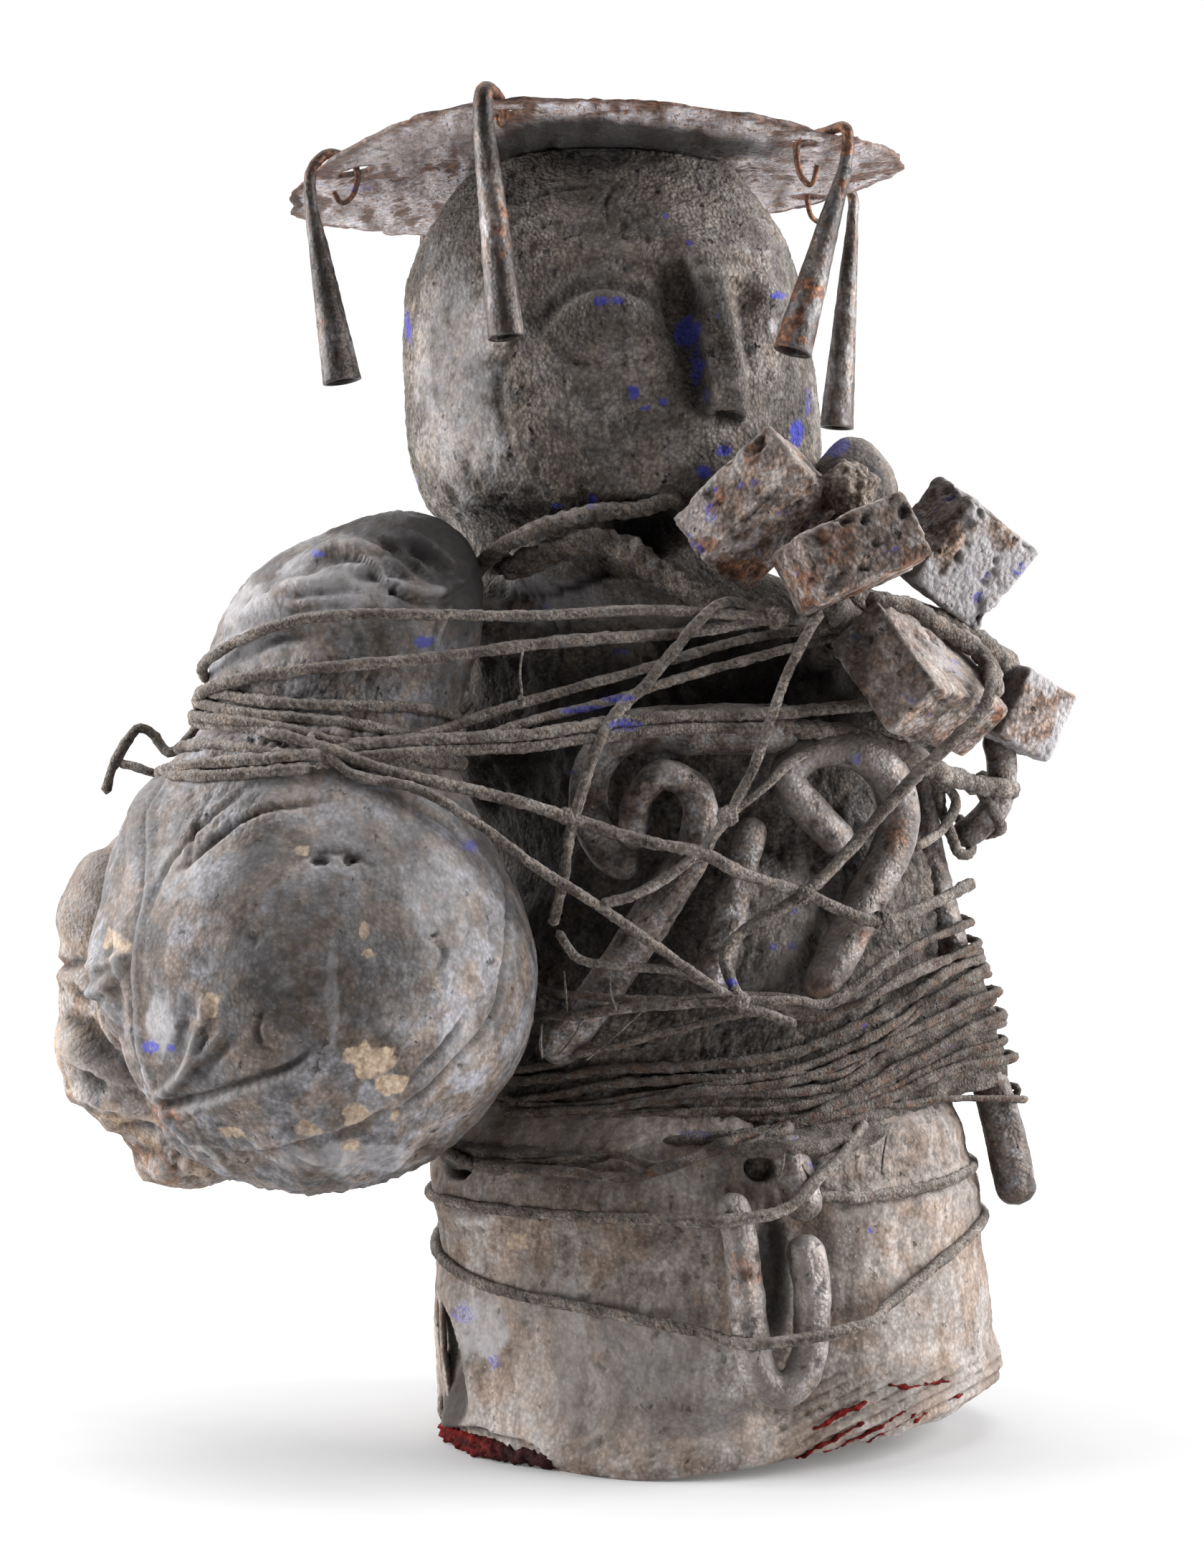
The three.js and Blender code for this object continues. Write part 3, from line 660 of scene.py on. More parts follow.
TAN_SPOTS = ((-104.5, 111, 9.5, 6, 1.2), (-100, 104, 5.5, 4.4, 0.9), (-108.2, 149.6, 1.6, 3.1, 0.8),
    (-106, 143, 3.1, 1.3, 0.8), (-127.4, 174.6, 2.8, 2.0, 0.7), (-156, 126, 2.4, 4.4, 0.8),
    (-110, 93, 4.6, 4.2, 0.7), (-125, 89, 4.8, 2.4, 0.6), (-184, 146, 6, 5.6, 0.7), (-150, 88, 6, 3, 0.5),
    (-60.5, 54.5, 6.4, 2.6, 0.6), (-36, 52, 3.5, 3, 0.3), (1, 3.5, 3, 2.2, 0.5), (-153, 130, 4, 2, 0.5),
    (-98, 92, 3, 3, 0.5), (-112, 84, 5, 2, 0.6))


def marks_at(points: Array, normals: Array, hue: bool = True) -> Array:
    """Strength of blue, rust, pale and tan at points that face the eye.

    Args:
        points: places in mm.
        normals: outward directions.
        hue: whether the pale and tan patches are laid on as well as the blue.

    Returns:
        Four strengths for each point.
    """
    at = seen(points)
    ragged = 0.55 * fractal(points, 4.5, 71, 3)
    front = step(-normals[..., 1], 0.0, 0.3)
    loose = step(fractal(points, 22, 55, 3), 0.62, 0.9) * step(noise(points, 3.0, 61), -0.2, 0.7) * 0.7
    blue = np.maximum(spots(at, BLUE_SPOTS, ragged) * front, loose * (1 - front))
    pale = spots(at, PALE_SPOTS, ragged) * front if hue else 0 * blue
    tan = spots(at, TAN_SPOTS, 1.4 * ragged) * front if hue else 0 * blue
    return np.stack([blue, spots(at, RUST_SPOTS, ragged) * front, pale, tan], -1)


# Finishes


@dataclass
class Tree:
    """Short ways to add nodes to a node tree."""

    tree: NodeTree

    def feed(self, socket: NodeSocket, value: object) -> None:
        """Links a socket, or sets its number or colour."""
        if isinstance(value, NodeSocket):
            self.tree.links.new(value, socket)
        elif value is not None:
            socket.default_value = value

    def add(self, kind: str, settings: dict[str, object] | None = None, **inputs: object) -> Node:
        """Adds a node.

        Args:
            kind: the node's type.
            settings: its properties.
            inputs: its inputs by name, with _ for a space.

        Returns:
            The node.
        """
        node = self.tree.nodes.new(kind)
        for name, value in (settings or {}).items():
            setattr(node, name, value)
        for name, value in inputs.items():
            self.feed(node.inputs[name.replace("_", " ")], value)
        return node

    def math(self, kind: str, a: object, b: object = None, clamp: bool = False) -> NodeSocket:
        """Adds a node that works with numbers.

        Args:
            kind: the operation.
            a: the first number.
            b: the second, where there is one.
            clamp: whether the result is kept from 0 to 1.

        Returns:
            The result.
        """
        node = self.add("ShaderNodeMath", {"operation": kind, "use_clamp": clamp})
        self.feed(node.inputs[0], a)
        self.feed(node.inputs[1], b)
        return node.outputs[0]

    def mix(self, share: object, a: object, b: object, kind: str = "MIX") -> NodeSocket:
        """Two colours mixed by a share.

        Args:
            share: how much of the second.
            a: the first colour.
            b: the second colour.
            kind: how they are mixed.

        Returns:
            The mixed colour.
        """
        node = self.add("ShaderNodeMix", {"data_type": "RGBA", "blend_type": kind, "clamp_factor": True})
        self.feed(node.inputs[0], share)
        self.feed(node.inputs[6], a)
        self.feed(node.inputs[7], b)
        return node.outputs[2]

    def remap(self, value: object, low: float, high: float, to_low: float = 0.0,
              to_high: float = 1.0) -> NodeSocket:
        """A value's range moved smoothly to another.

        Args:
            value: the value.
            low: where the change starts.
            high: where it ends.
            to_low: the result up to low.
            to_high: the result from high on.

        Returns:
            The result.
        """
        node = self.add("ShaderNodeMapRange", {"interpolation_type": "SMOOTHSTEP"})
        for socket, number in zip(node.inputs, (value, low, high, to_low, to_high)):
            self.feed(socket, number)
        return node.outputs[0]

    def noise(self, vector: object, scale: object, detail: float, rough: float = 0.55) -> NodeSocket:
        """Fractal noise from 0 to 1."""
        inputs = {"Vector": vector, "Scale": scale, "Detail": detail, "Roughness": rough}
        return self.add("ShaderNodeTexNoise", None, **inputs).outputs[0]

    def cells(self, vector: object, scale: object) -> NodeSocket:
        """Distance from the nearest of a set of scattered points."""
        return self.add("ShaderNodeTexVoronoi", None, Vector=vector, Scale=scale).outputs["Distance"]


def new_group(name: str, takes: dict[str, str], gives: dict[str, str]) -> tuple[Tree, Node, Node]:
    """Starts a shader node group.

    Args:
        name: the group's name.
        takes: kind of each input by name.
        gives: kind of each output by name.

    Returns:
        The tree, its input node and its output node.
    """
    group = bpy.data.node_groups.new(name, "ShaderNodeTree")
    for way, sockets in (("INPUT", takes), ("OUTPUT", gives)):
        for label, kind in sockets.items():
            group.interface.new_socket(label, in_out=way, socket_type=f"NodeSocket{kind}")
    tree = Tree(group)
    return tree, tree.add("NodeGroupInput"), tree.add("NodeGroupOutput")


def mottle_group() -> NodeTree:
    """Uneven tone of a handled, dusty surface, large clouds with smaller ones on them.

    Returns:
        The group, which gives the tone and its finer part.
    """
    tree, start, end = new_group("Mottled tone", {"Vector": "Vector", "Cloud scale": "Float"},
        {"Tone": "Float", "Fine": "Float"})
    large = tree.noise(start.outputs[0], start.outputs[1], 3, 0.6)
    finer = tree.math("MULTIPLY", start.outputs[1], 7.0)
    small = tree.noise(start.outputs[0], finer, 4, 0.65)
    tone = tree.math("ADD", tree.math("MULTIPLY", large, 0.6), tree.math("MULTIPLY", small, 0.4))
    tree.feed(end.inputs["Tone"], tree.remap(tone, 0.32, 0.68))
    tree.feed(end.inputs["Fine"], small)
    return tree.tree


def crust_group() -> NodeTree:
    """Granular dried earth: rounded grains, sharp pits and pale specks.

    Returns:
        The group, which gives height, specks and pits.
    """
    tree, start, end = new_group("Earth crust", {"Vector": "Vector", "Grain scale": "Float"},
        {"Height": "Float", "Specks": "Float", "Pits": "Float"})
    place, scale = start.outputs[0], start.outputs[1]
    bent = tree.add("ShaderNodeVectorMath", {"operation": "ADD"})
    tree.feed(bent.inputs[0], place)
    slower = tree.math("MULTIPLY", scale, 0.7)
    wobble = tree.add("ShaderNodeTexNoise", None, Vector=place, Scale=slower, Detail=2.0)
    spread = tree.add("ShaderNodeVectorMath", {"operation": "SCALE"}, Scale=0.0006)
    tree.feed(spread.inputs[0], wobble.outputs["Color"])
    tree.feed(bent.inputs[1], spread.outputs[0])
    grain = tree.cells(bent.outputs[0], scale)
    rough = tree.noise(place, tree.math("MULTIPLY", scale, 0.55), 5, 0.7)
    pit = tree.remap(tree.noise(place, tree.math("MULTIPLY", scale, 0.32), 3, 0.6), 0.36, 0.26)
    rounded = tree.math("MULTIPLY", tree.math("SUBTRACT", 1.0, grain), 0.45)
    height = tree.math("ADD", rounded, tree.math("MULTIPLY", rough, 0.8))
    tree.feed(end.inputs["Height"], tree.math("SUBTRACT", height, tree.math("MULTIPLY", pit, 0.7)))
    speck = tree.noise(place, tree.math("MULTIPLY", scale, 1.7), 1, 0.5)
    tree.feed(end.inputs["Specks"], tree.remap(speck, 0.68, 0.8))
    tree.feed(end.inputs["Pits"], pit)
    return tree.tree


def traces_group() -> NodeTree:
    """Lays blue pigment, rust, pale patches (bloom, and in places painted light) and tan patches over a
    colour, broken up by fine noise.

    Returns:
        The group, which gives the colour.
    """
    takes = {"Color": "Color", "Vector": "Vector", "Blue": "Float", "Rust": "Float", "Pale": "Float",
        "Tan": "Float"}
    tree, start, end = new_group("Pigment and rust", takes, {"Color": "Color"})
    colour, place, blue, rust, pale, tan = (start.outputs[i] for i in range(6))
    powder = tree.noise(place, 900.0, 4, 0.7)
    wide = tree.noise(place, 260.0, 3, 0.6)

    def cover(strength: NodeSocket, breaker: NodeSocket, soft: float, most: float,
              broken: float = 1.7) -> NodeSocket:
        """Covers only where strength beats the noise.

        Args:
            strength: how strong the layer is.
            breaker: the noise.
            soft: half width of its soft border.
            most: how far it hides what is below.
            broken: how much the noise counts.

        Returns:
            The share of the layer.
        """
        spread = tree.math("MULTIPLY", tree.math("SUBTRACT", breaker, 0.5), broken)
        over = tree.remap(tree.math("ADD", strength, spread), 0.5 - soft, 0.5 + soft, 0.0, most)
        return tree.math("MULTIPLY", over, tree.math("MULTIPLY", strength, 3.0, True))

    colour = tree.mix(cover(pale, wide, 0.45, 0.75, 0.8), colour, (0.42, 0.41, 0.425, 1))
    shade = tree.noise(place, 500.0, 3)
    tawny = tree.mix(tree.remap(shade, 0.35, 0.65), (0.30, 0.21, 0.145, 1), (0.52, 0.40, 0.28, 1))
    colour = tree.mix(cover(tan, wide, 0.22, 0.85), colour, tawny)
    rusty = tree.mix(tree.remap(shade, 0.38, 0.66), (0.06, 0.026, 0.016, 1), (0.27, 0.115, 0.055, 1))
    colour = tree.mix(cover(rust, wide, 0.3, 0.85), colour, rusty)
    tree.feed(end.inputs[0], tree.mix(cover(blue, powder, 0.3, 0.8, 2.3), colour, (0.045, 0.052, 0.42, 1)))
    return tree.tree


def dust_and_shade_group() -> NodeTree:
    """Pale dust on faces that look up and on worn high places; hollows and dark marks go towards black, as
    painted shade and as dirt.

    Returns:
        The group, which gives the colour.
    """
    takes = {"Color": "Color", "Dust": "Float", "Hollow": "Float", "Worn": "Float", "Dark": "Float",
        "Dust Color": "Color"}
    tree, start, end = new_group("Dust, dirt and painted shade", takes, {"Color": "Color"})
    facing = tree.add("ShaderNodeNewGeometry").outputs["Normal"]
    upward = tree.add("ShaderNodeSeparateXYZ", None, Vector=facing)
    lying = tree.math("MULTIPLY", tree.remap(upward.outputs["Z"], 0.0, 0.9), start.outputs[1])
    settled = tree.math("ADD", lying, tree.math("MULTIPLY", start.outputs[3], 0.45), True)
    colour = tree.mix(settled, start.outputs[0], start.outputs[5])
    # painted shade and dirt: the hollow and dark strengths take the colour towards black
    deep = tree.math("MULTIPLY", start.outputs[2], 0.8)
    dirt = tree.math("MAXIMUM", deep, tree.math("MULTIPLY", start.outputs[4], 0.93))
    tree.feed(end.inputs[0], tree.mix(dirt, colour, (0.016, 0.014, 0.0135, 1)))
    return tree.tree


@dataclass(frozen=True)
class Finish:
    """An aged, dusty surface. Colours are linear, sizes are mm."""

    name: str
    dark: RGB
    mid: RGB
    light: RGB
    cloud: float = 26.0
    stretch: RGB = (1.0, 1.0, 1.0)
    grain: float = 1.1
    bump: float = 0.35
    specks: float = 0.5
    pits: float = 0.5
    rust: float = 0.0
    dust: float = 0.35
    dust_colour: RGB = (0.36, 0.33, 0.31)
    tint: RGB = (1.0, 0.9, 0.8)
    painted_grain_shade: float = 0.6
    roughness: float = 0.9
    metallic: float = 0.0
    specular: float = 0.25

    def made(self, groups: dict[str, NodeTree]) -> Material:
        """Makes the material.

        Args:
            groups: the shared node groups by name.

        Returns:
            The material.
        """
        material = bpy.data.materials.new(self.name)
        material.use_nodes = True
        material.node_tree.nodes.clear()
        tree = Tree(material.node_tree)
        shader = tree.add("ShaderNodeBsdfPrincipled")
        tree.feed(tree.add("ShaderNodeOutputMaterial").inputs["Surface"], shader.outputs[0])
        shader.inputs["Metallic"].default_value = self.metallic
        shader.inputs["Specular IOR Level"].default_value = self.specular
        place = tree.add("ShaderNodeTexCoord").outputs["Object"]
        drawn = tree.add("ShaderNodeMapping", None, Vector=place, Scale=self.stretch).outputs[0]
        mottle = tree.add("ShaderNodeGroup", {"node_tree": groups["mottle"]}, Vector=drawn,
                          Cloud_scale=1000 / self.cloud)
        crust = tree.add("ShaderNodeGroup", {"node_tree": groups["crust"]}, Vector=place,
                         Grain_scale=1000 / self.grain)
        marks = tree.add("ShaderNodeAttribute", {"attribute_name": "traces"})
        shape = tree.add("ShaderNodeAttribute", {"attribute_name": "relief"})
        hues = tree.add("ShaderNodeSeparateColor", None, Color=marks.outputs["Color"])
        forms = tree.add("ShaderNodeSeparateColor", None, Color=shape.outputs["Color"])
        tone = tree.add("ShaderNodeValToRGB", None, Fac=mottle.outputs["Tone"])
        tone.color_ramp.elements.new(0.5)
        for stop, colour in zip(tone.color_ramp.elements, (self.dark, self.mid, self.light)):
            stop.color = (*colour, 1)
        smooth = tree.math("SUBTRACT", 1.0, tree.math("MULTIPLY", forms.outputs["Blue"], 0.75))
        hue = tree.remap(tree.noise(place, 2200 / self.cloud, 4, 0.6), 0.42, 0.6)
        tinted = tree.mix(hue, tone.outputs[0], (*self.tint, 1), "MULTIPLY")
        colour = tree.mix(tree.math("MULTIPLY", crust.outputs["Pits"], self.pits), tinted,
                          tuple(0.3 * c for c in self.dark) + (1,))
        # painted shade in the gaps between grains and painted light on their tops
        painted_grain_shade = tree.remap(crust.outputs["Height"], 0.4, 0.86, 0.5, 1.36)
        colour = tree.mix(self.painted_grain_shade, colour, painted_grain_shade, "MULTIPLY")
        bright = tuple(1.4 * c for c in self.light) + (1,)
        colour = tree.mix(tree.math("MULTIPLY", crust.outputs["Specks"], self.specks), colour, bright)
        rusted = tree.remap(tree.math("ADD", mottle.outputs["Fine"], self.rust * 0.5), 0.62, 0.78)
        rust = tree.math("MAXIMUM", hues.outputs["Green"], rusted) if self.rust else hues.outputs["Green"]
        marked = tree.add("ShaderNodeGroup", {"node_tree": groups["traces"]}, Color=colour, Vector=place,
            Blue=hues.outputs["Red"], Rust=rust, Pale=hues.outputs["Blue"], Tan=marks.outputs["Alpha"])
        dusty = tree.add("ShaderNodeGroup", {"node_tree": groups["dust"]}, Color=marked.outputs[0],
            Dust=self.dust, Hollow=forms.outputs["Red"], Worn=forms.outputs["Green"],
            Dark=shape.outputs["Alpha"], Dust_Color=(*self.dust_colour, 1))
        tree.feed(shader.inputs["Base Color"], dusty.outputs[0])
        sheen = (self.roughness - 0.1, min(1.0, self.roughness + 0.06))
        tree.feed(shader.inputs["Roughness"], tree.remap(mottle.outputs["Fine"], 0.3, 0.7, *sheen))
        raised = tree.math("MULTIPLY", crust.outputs["Height"], smooth)
        surface = tree.add("ShaderNodeBump", None, Strength=1.0, Distance=self.bump * MM, Height=raised)
        tree.feed(shader.inputs["Normal"], surface.outputs[0])
        return material


FINISHES = (
    Finish("crusted_wood", (0.045, 0.039, 0.036), (0.132, 0.117, 0.108), (0.30, 0.27, 0.25), 24, grain=1.3,
        bump=1.7, specks=0.6, pits=0.9, dust=0.2, dust_colour=(0.36, 0.335, 0.315), tint=(1, 0.92, 0.83),
        painted_grain_shade=0.9),
    Finish("gourd_hide", (0.052, 0.046, 0.044), (0.145, 0.137, 0.139), (0.29, 0.288, 0.315), 20, grain=1.4,
        bump=0.8, specks=0.35, pits=0.8, dust=0.22, dust_colour=(0.36, 0.35, 0.36), roughness=0.72,
        specular=0.35, tint=(0.98, 0.79, 0.62), painted_grain_shade=0.65),
    Finish("wrap_hide", (0.12, 0.098, 0.084), (0.27, 0.234, 0.212), (0.45, 0.42, 0.405), 30,
        (1.3, 1.3, 0.6), grain=1.3, bump=0.8, specks=0.5, pits=0.6, dust=0.3, tint=(0.93, 0.80, 0.70),
        painted_grain_shade=0.6),
    Finish("bundle_cloth", (0.09, 0.076, 0.068), (0.31, 0.27, 0.25), (0.49, 0.45, 0.425), 18, grain=1.2,
        bump=0.8, rust=0.1, tint=(0.95, 0.8, 0.65)),
    Finish("rusted_sheet", (0.12, 0.082, 0.064), (0.50, 0.465, 0.49), (0.84, 0.83, 0.89), 8, (1, 0.2, 1),
        grain=1.8, bump=0.8, specks=0.2, pits=0.7, rust=0.22, dust=0.0, roughness=0.75, metallic=0.05,
        tint=(0.90, 0.78, 0.68)),
    Finish("rolled_iron", (0.035, 0.03, 0.029), (0.09, 0.081, 0.079), (0.27, 0.257, 0.257), 10,
        (1, 1, 0.35), grain=1.2, bump=0.5, specks=0.2, rust=0.06, dust=0.1, roughness=0.52, metallic=0.5,
        specular=0.4, tint=(0.92, 0.78, 0.68)),
    Finish("forged_iron", (0.06, 0.048, 0.043), (0.185, 0.165, 0.16), (0.42, 0.405, 0.41), 9, grain=1.2,
        bump=0.7, specks=0.4, pits=0.9, rust=0.09, dust=0.3, roughness=0.52, metallic=0.45,
        tint=(0.92, 0.79, 0.68)),
    Finish("block_iron", (0.07, 0.05, 0.043), (0.22, 0.183, 0.167), (0.46, 0.42, 0.40), 10, grain=1.7,
        bump=1.4, specks=0.3, pits=1.0, rust=0.08, dust=0.35, dust_colour=(0.42, 0.385, 0.36),
        tint=(0.9, 0.72, 0.6), painted_grain_shade=0.9),
    Finish("cord", (0.058, 0.048, 0.042), (0.15, 0.13, 0.117), (0.33, 0.298, 0.272), 8, grain=0.8,
        bump=0.9, specks=0.4, pits=0.6, dust=0.35, dust_colour=(0.37, 0.335, 0.31),
        tint=(0.96, 0.86, 0.77), painted_grain_shade=0.9),
    Finish("red_cloth", (0.04, 0.004, 0.004), (0.12, 0.009, 0.008), (0.22, 0.024, 0.02), 5, grain=0.8,
        bump=0.6, specks=0.0, dust=0.0, dust_colour=(0.25, 0.07, 0.06), specular=0.1, tint=(0.9, 0.6, 0.6)),
    Finish("blue_wood", (0.035, 0.033, 0.036), (0.10, 0.09, 0.086), (0.24, 0.215, 0.20), 9, grain=1.3,
        bump=0.8),
    Finish("earth_lump", (0.08, 0.062, 0.05), (0.21, 0.17, 0.145), (0.38, 0.33, 0.29), 6, grain=1.4,
        bump=1.2, painted_grain_shade=0.9),
)


# Sizes shared with the solids: rows of [z, centre x, centre y, half width, half depth]

FIGURE_LEVELS = ((6, -4, 0, 74, 66), (60, -4, 0, 74, 66), (95, -1, 0, 72, 62), (130, 3, 1, 69, 57),
    (170, 1, 1, 67, 54), (205, -4, 2, 63, 51), (235, -8, 2, 57, 47), (252, -20, 0, 47, 42),
    (264, -31, 0, 39, 38), (272, -32, -1, 43, 43), (280, -31, -3, 56, 53), (292, -31, -4, 61.5, 57),
    (306, -32, -4, 62.6, 59), (325, -33.5, -4, 61.8, 59), (346, -35, -3, 59.3, 57), (358, -35, -2, 56, 54),
    (371, -35, 0, 48.5, 48), (380, -35, 0, 41.5, 43), (388, -35, 0, 38, 40))
WRAP_LEVELS = ((0, -9, -4, 71, 70), (3, -7, -3, 77, 73), (10, -3, -2, 82.5, 75), (24, -2, -1, 84.5, 75.5),
    (46, -2.5, -1, 83.5, 75), (58, -3, -1, 81.5, 74), (74, -4, -1, 81.5, 73), (84, -5, 0, 79.5, 71),
    (93, -3, 0, 76, 68), (102, -2, 0, 70, 60))
GOURD_LEVELS = ((78, -114, -64, 4, 4), (82, -114, -65, 24, 24), (94, -114, -66, 42, 41),
    (112, -114.5, -67, 54, 53), (140, -115, -68, 61, 60), (162, -116, -67, 57.5, 56),
    (182, -117, -64, 48.5, 47), (197, -118, -60, 41.5, 40), (209, -115.7, -57, 36.2, 37),
    (221, -112.5, -54, 37, 38), (237, -108.8, -51, 38.8, 39), (252, -105, -49, 34.5, 36),
    (264, -99.8, -47, 25.8, 28), (272, -95, -46, 13, 16), (275, -94, -46, 3, 4))


# Head and trunk


@dataclass
class CarvedFigure:
    """Trunk, neck and head carved from one piece of wood, under a thick crust of earth."""

    rows: int = 236
    columns: int = 310
    square: float = 2.15
    face_angle: float = math.radians(-64)
    bridge_lean: float = 0.8
    brow: float = 345.0
    nose_tip: float = 301.0
    chin_top: float = 268.0

    def face_turn(self, angle: Array, z: Array) -> Array:
        """Distance round the head from the middle of the face, in mm, with the head's lean taken out."""
        return wrapped(angle - self.face_angle) * 60 - 3.4 + self.bridge_lean * np.clip(z - self.brow, 0, 16)

    def face(self, angle: Array, z: Array) -> Array:
        """Carved face as a rise over the plain head.

        Args:
            angle: directions from the middle line.
            z: heights.

        Returns:
            The rise in mm.
        """
        turn = self.face_turn(angle, z)
        down = clipped((self.brow + 4 - z) / (self.brow + 4 - self.nose_tip))
        side = np.minimum(np.abs(turn + 0.5) / (6.6 + 1.8 * down), 1)
        below = step(z, self.nose_tip - 4, self.nose_tip + 2)
        nose = (2.5 + 9.5 * down**0.9) * (1 - side**2) ** 1.5 * below * step(z, self.brow + 16, self.brow)
        nostrils = -3 * bump(np.hypot(turn + 3, (z - self.nose_tip - 1) * 1.4), 6)
        brow = 3.4 * bump(z - self.brow - 5, 9) * bump(turn, 50)
        left_eye = 6.2 * bump(np.hypot((turn + 30) / 1.4, z - 332), 13.5)
        right_eye = 4.2 * bump(np.hypot((turn - 21) / 1.1, z - 338), 10)
        sockets = (-3.6 * bump(turn + 11, 9) * bump(z - 330, 26)
                   - 1.6 * bump(turn - 11, 7) * bump(z - 330, 20))
        cheeks = -2.5 * bump(z - 300, 16) * bump(np.abs(turn) - 24, 16)
        chin = 3 * bump(z - 283, 9) * bump(turn, 34)
        carved = nose + nostrils + brow + left_eye + right_eye + sockets + cheeks + chin
        return np.where(z < self.chin_top, 0, carved)

    def trunk(self, angle: Array, z: Array) -> Array:
        """The shoulder that carries the blocks, and slow lumps of the trunk.

        Args:
            angle: directions from the middle line.
            z: heights.

        Returns:
            The rise in mm.
        """
        shoulder = 24 * bump(z - 226, 36) * bump(wrapped(angle + 0.25), 1.0)
        lumps = 1.2 * np.sin(3 * angle + z / 19) * np.sin(z / 13 + 2 * np.cos(angle))
        beside_gourd = 18 * bump(z - 224, 74) * bump(wrapped(angle - math.pi - 0.05), 0.7)
        beside_gourd *= step(z, 284, 272)
        return (shoulder * step(z, 276, 266) + lumps * step(z, 262, 252) + beside_gourd) * step(z, 80, 84)

    def outline(self, angle: Array, z: Array) -> Array:
        """Points on the plain trunk at those heights."""
        return loft(FIGURE_LEVELS, angle, z, self.square, self.trunk(angle, z))

    def creases(self, at: Array) -> Array:
        """Cuts, creases and lumps seen on the face and chest.

        Args:
            at: seen places.

        Returns:
            The rise in mm.
        """
        rise = 0 * at[..., 0]
        # route, height, half width, share of the height left at the ends, steepness
        lines = (
            (((-54.6, 336), (-45.5, 345.8), (-34.8, 349.3), (-24, 346.7), (-15.8, 340.3)), -3.1, 3.4),
            (((-49.3, 330.4), (-42.7, 324.7), (-31.7, 322.9), (-20.7, 326.2)), -2.0, 3.2),
            (((-13.2, 356), (-11, 347.6), (-9.4, 338.8), (-8.6, 330), (-7, 321)), -2.0, 6.6, 0.3, 1.6),
            (((-8.4, 330), (-6.2, 321), (-4, 312.4), (-1.6, 307.5)), -2.4, 4.6, 0.4, 1.6),
            (((7.4, 344), (8.4, 336), (9.6, 328), (11, 316)), -1.4, 2.4, 0.4),
            (((-56.8, 338), (-63.4, 326.4), (-67.1, 319), (-65.6, 305.8), (-62.7, 294.5)), -1.3, 2.8),
            (((-63.6, 372.6), (-48.4, 377.5), (-33, 379)), -1.0, 1.6),
            (((-30.8, 379), (-33.9, 374), (-33.4, 367.4)), -0.9, 1.4),
            (((-79.2, 363), (-61.6, 369.6), (-44, 365.6)), -0.8, 1.5),
            (((-8, 349), (0, 352), (12, 350), (20, 343)), 2.2, 4.0),
            (((-9, 361), (-5, 353), (-1, 345), (2, 337)), 2.4, 4.6),
            (((-52, 358), (-38, 361), (-22, 359), (-10, 354)), 1.3, 4.5),
        )
        for line in lines:
            rise += ridge(at, *line)
        torn = 0.35 * fractal(np.stack([at[..., 0], at[..., 1], 0 * at[..., 0]], -1), 5, 11, 3)
        rise -= 1.6 * spots(at, ((9.5, 343.4, 3.4, 3.2, 0.6), (3.6, 307, 4.4, 2.4, 1.8),
            (15, 336.6, 1.6, 4, 0.8)), torn)
        rise -= 15 * spots(at, ((-22, 272.3, 12, 8, 1), (6, 230, 34, 17, 1), (30, 216, 14, 10, 0.7)), torn)
        rise -= 7 * spots(at, ((-63.4, 262.2, 6.5, 3.2, 1), (-72, 222, 16, 16, 1), (-60, 184, 18, 30, 0.9)),
            torn)
        rise += 6 * spots(at, ((-50, 262, 15, 10, 0.9), (-66, 243, 14, 9, 0.7), (-33, 250, 20, 8, 0.8)))
        rise += 5 * spots(at, ((10, 152, 22, 22, 0.9), (-22, 150, 12, 20, 0.6), (44, 168, 12, 22, 0.7)))
        return rise

    def build(self, material: Material, disc: HatDisc) -> None:
        """Makes the piece.

        Args:
            material: its finish.
            disc: the disc that its top is pressed under.
        """
        angle, z = round_grid(even_heights(FIGURE_LEVELS, 62, 388, self.rows, 262), self.columns)
        points = loft(FIGURE_LEVELS, angle, z, self.square, self.face(angle, z) + self.trunk(angle, z))
        out = normals_of(points)
        front = step(-out[..., 1], 0.0, 0.35)
        at = seen(points)
        rise = self.creases(at) * front
        smooth = spots(at, ((-80, 316, 17, 38, 1), (-66, 300, 8, 14, 0.6))) * front
        jaw = spots(at, ((-64, 288, 26, 14, 1), (-40, 283, 30, 7, 0.6))) * front
        torso = step(z, 205, 190) * front
        long_pits = fractal(points * (1, 1, 0.45), 3.4, 23, 3)
        body = step(z, 262, 250)
        rough = fractal(points, 7.5, 3, 5, 0.66) * (0.6 + 0.5 * body - 0.35 * smooth)
        rough += 0.55 * fractal(points, 26, 8, 2)
        grain = grains(points, 2.1, 5) * (0.42 + 0.4 * body + 0.6 * torso - 0.35 * smooth)
        pits = step(fractal(points, 3.2, 31, 3), 0.42, 0.8) * (0.6 + 0.3 * body - 0.35 * smooth)
        fine = rough + grain - pits - 0.9 * jaw * step(long_pits, 0.1, 0.6)
        crust = cells(points, 9, 40)
        flakes = step(fractal(points, 30, 9, 2), 0.1, 0.5) * step(crust[1] - crust[0], 0.14, 0.0)
        fine = fine - 0.5 * flakes * (1 - smooth) * (z < 262)
        total = rise + fine
        hollow, worn = low_and_high(total, 10, 1.5, 1.8)
        # paler patches on the shoulder mass under the chin, painted light where it lies in shade, and on the
        # torso crust
        settled = spots(at, ((-48, 251, 22, 12, 0.7), (-14, 256, 22, 9, 0.45), (20, 150, 20, 26, 0.8)),
            0.3 * rough) * front
        worn = np.maximum(worn, settled)
        points = points + out * total[..., None]
        points[..., 2] = np.minimum(points[..., 2], disc.underside(points[..., 0], points[..., 1]) - 0.7)
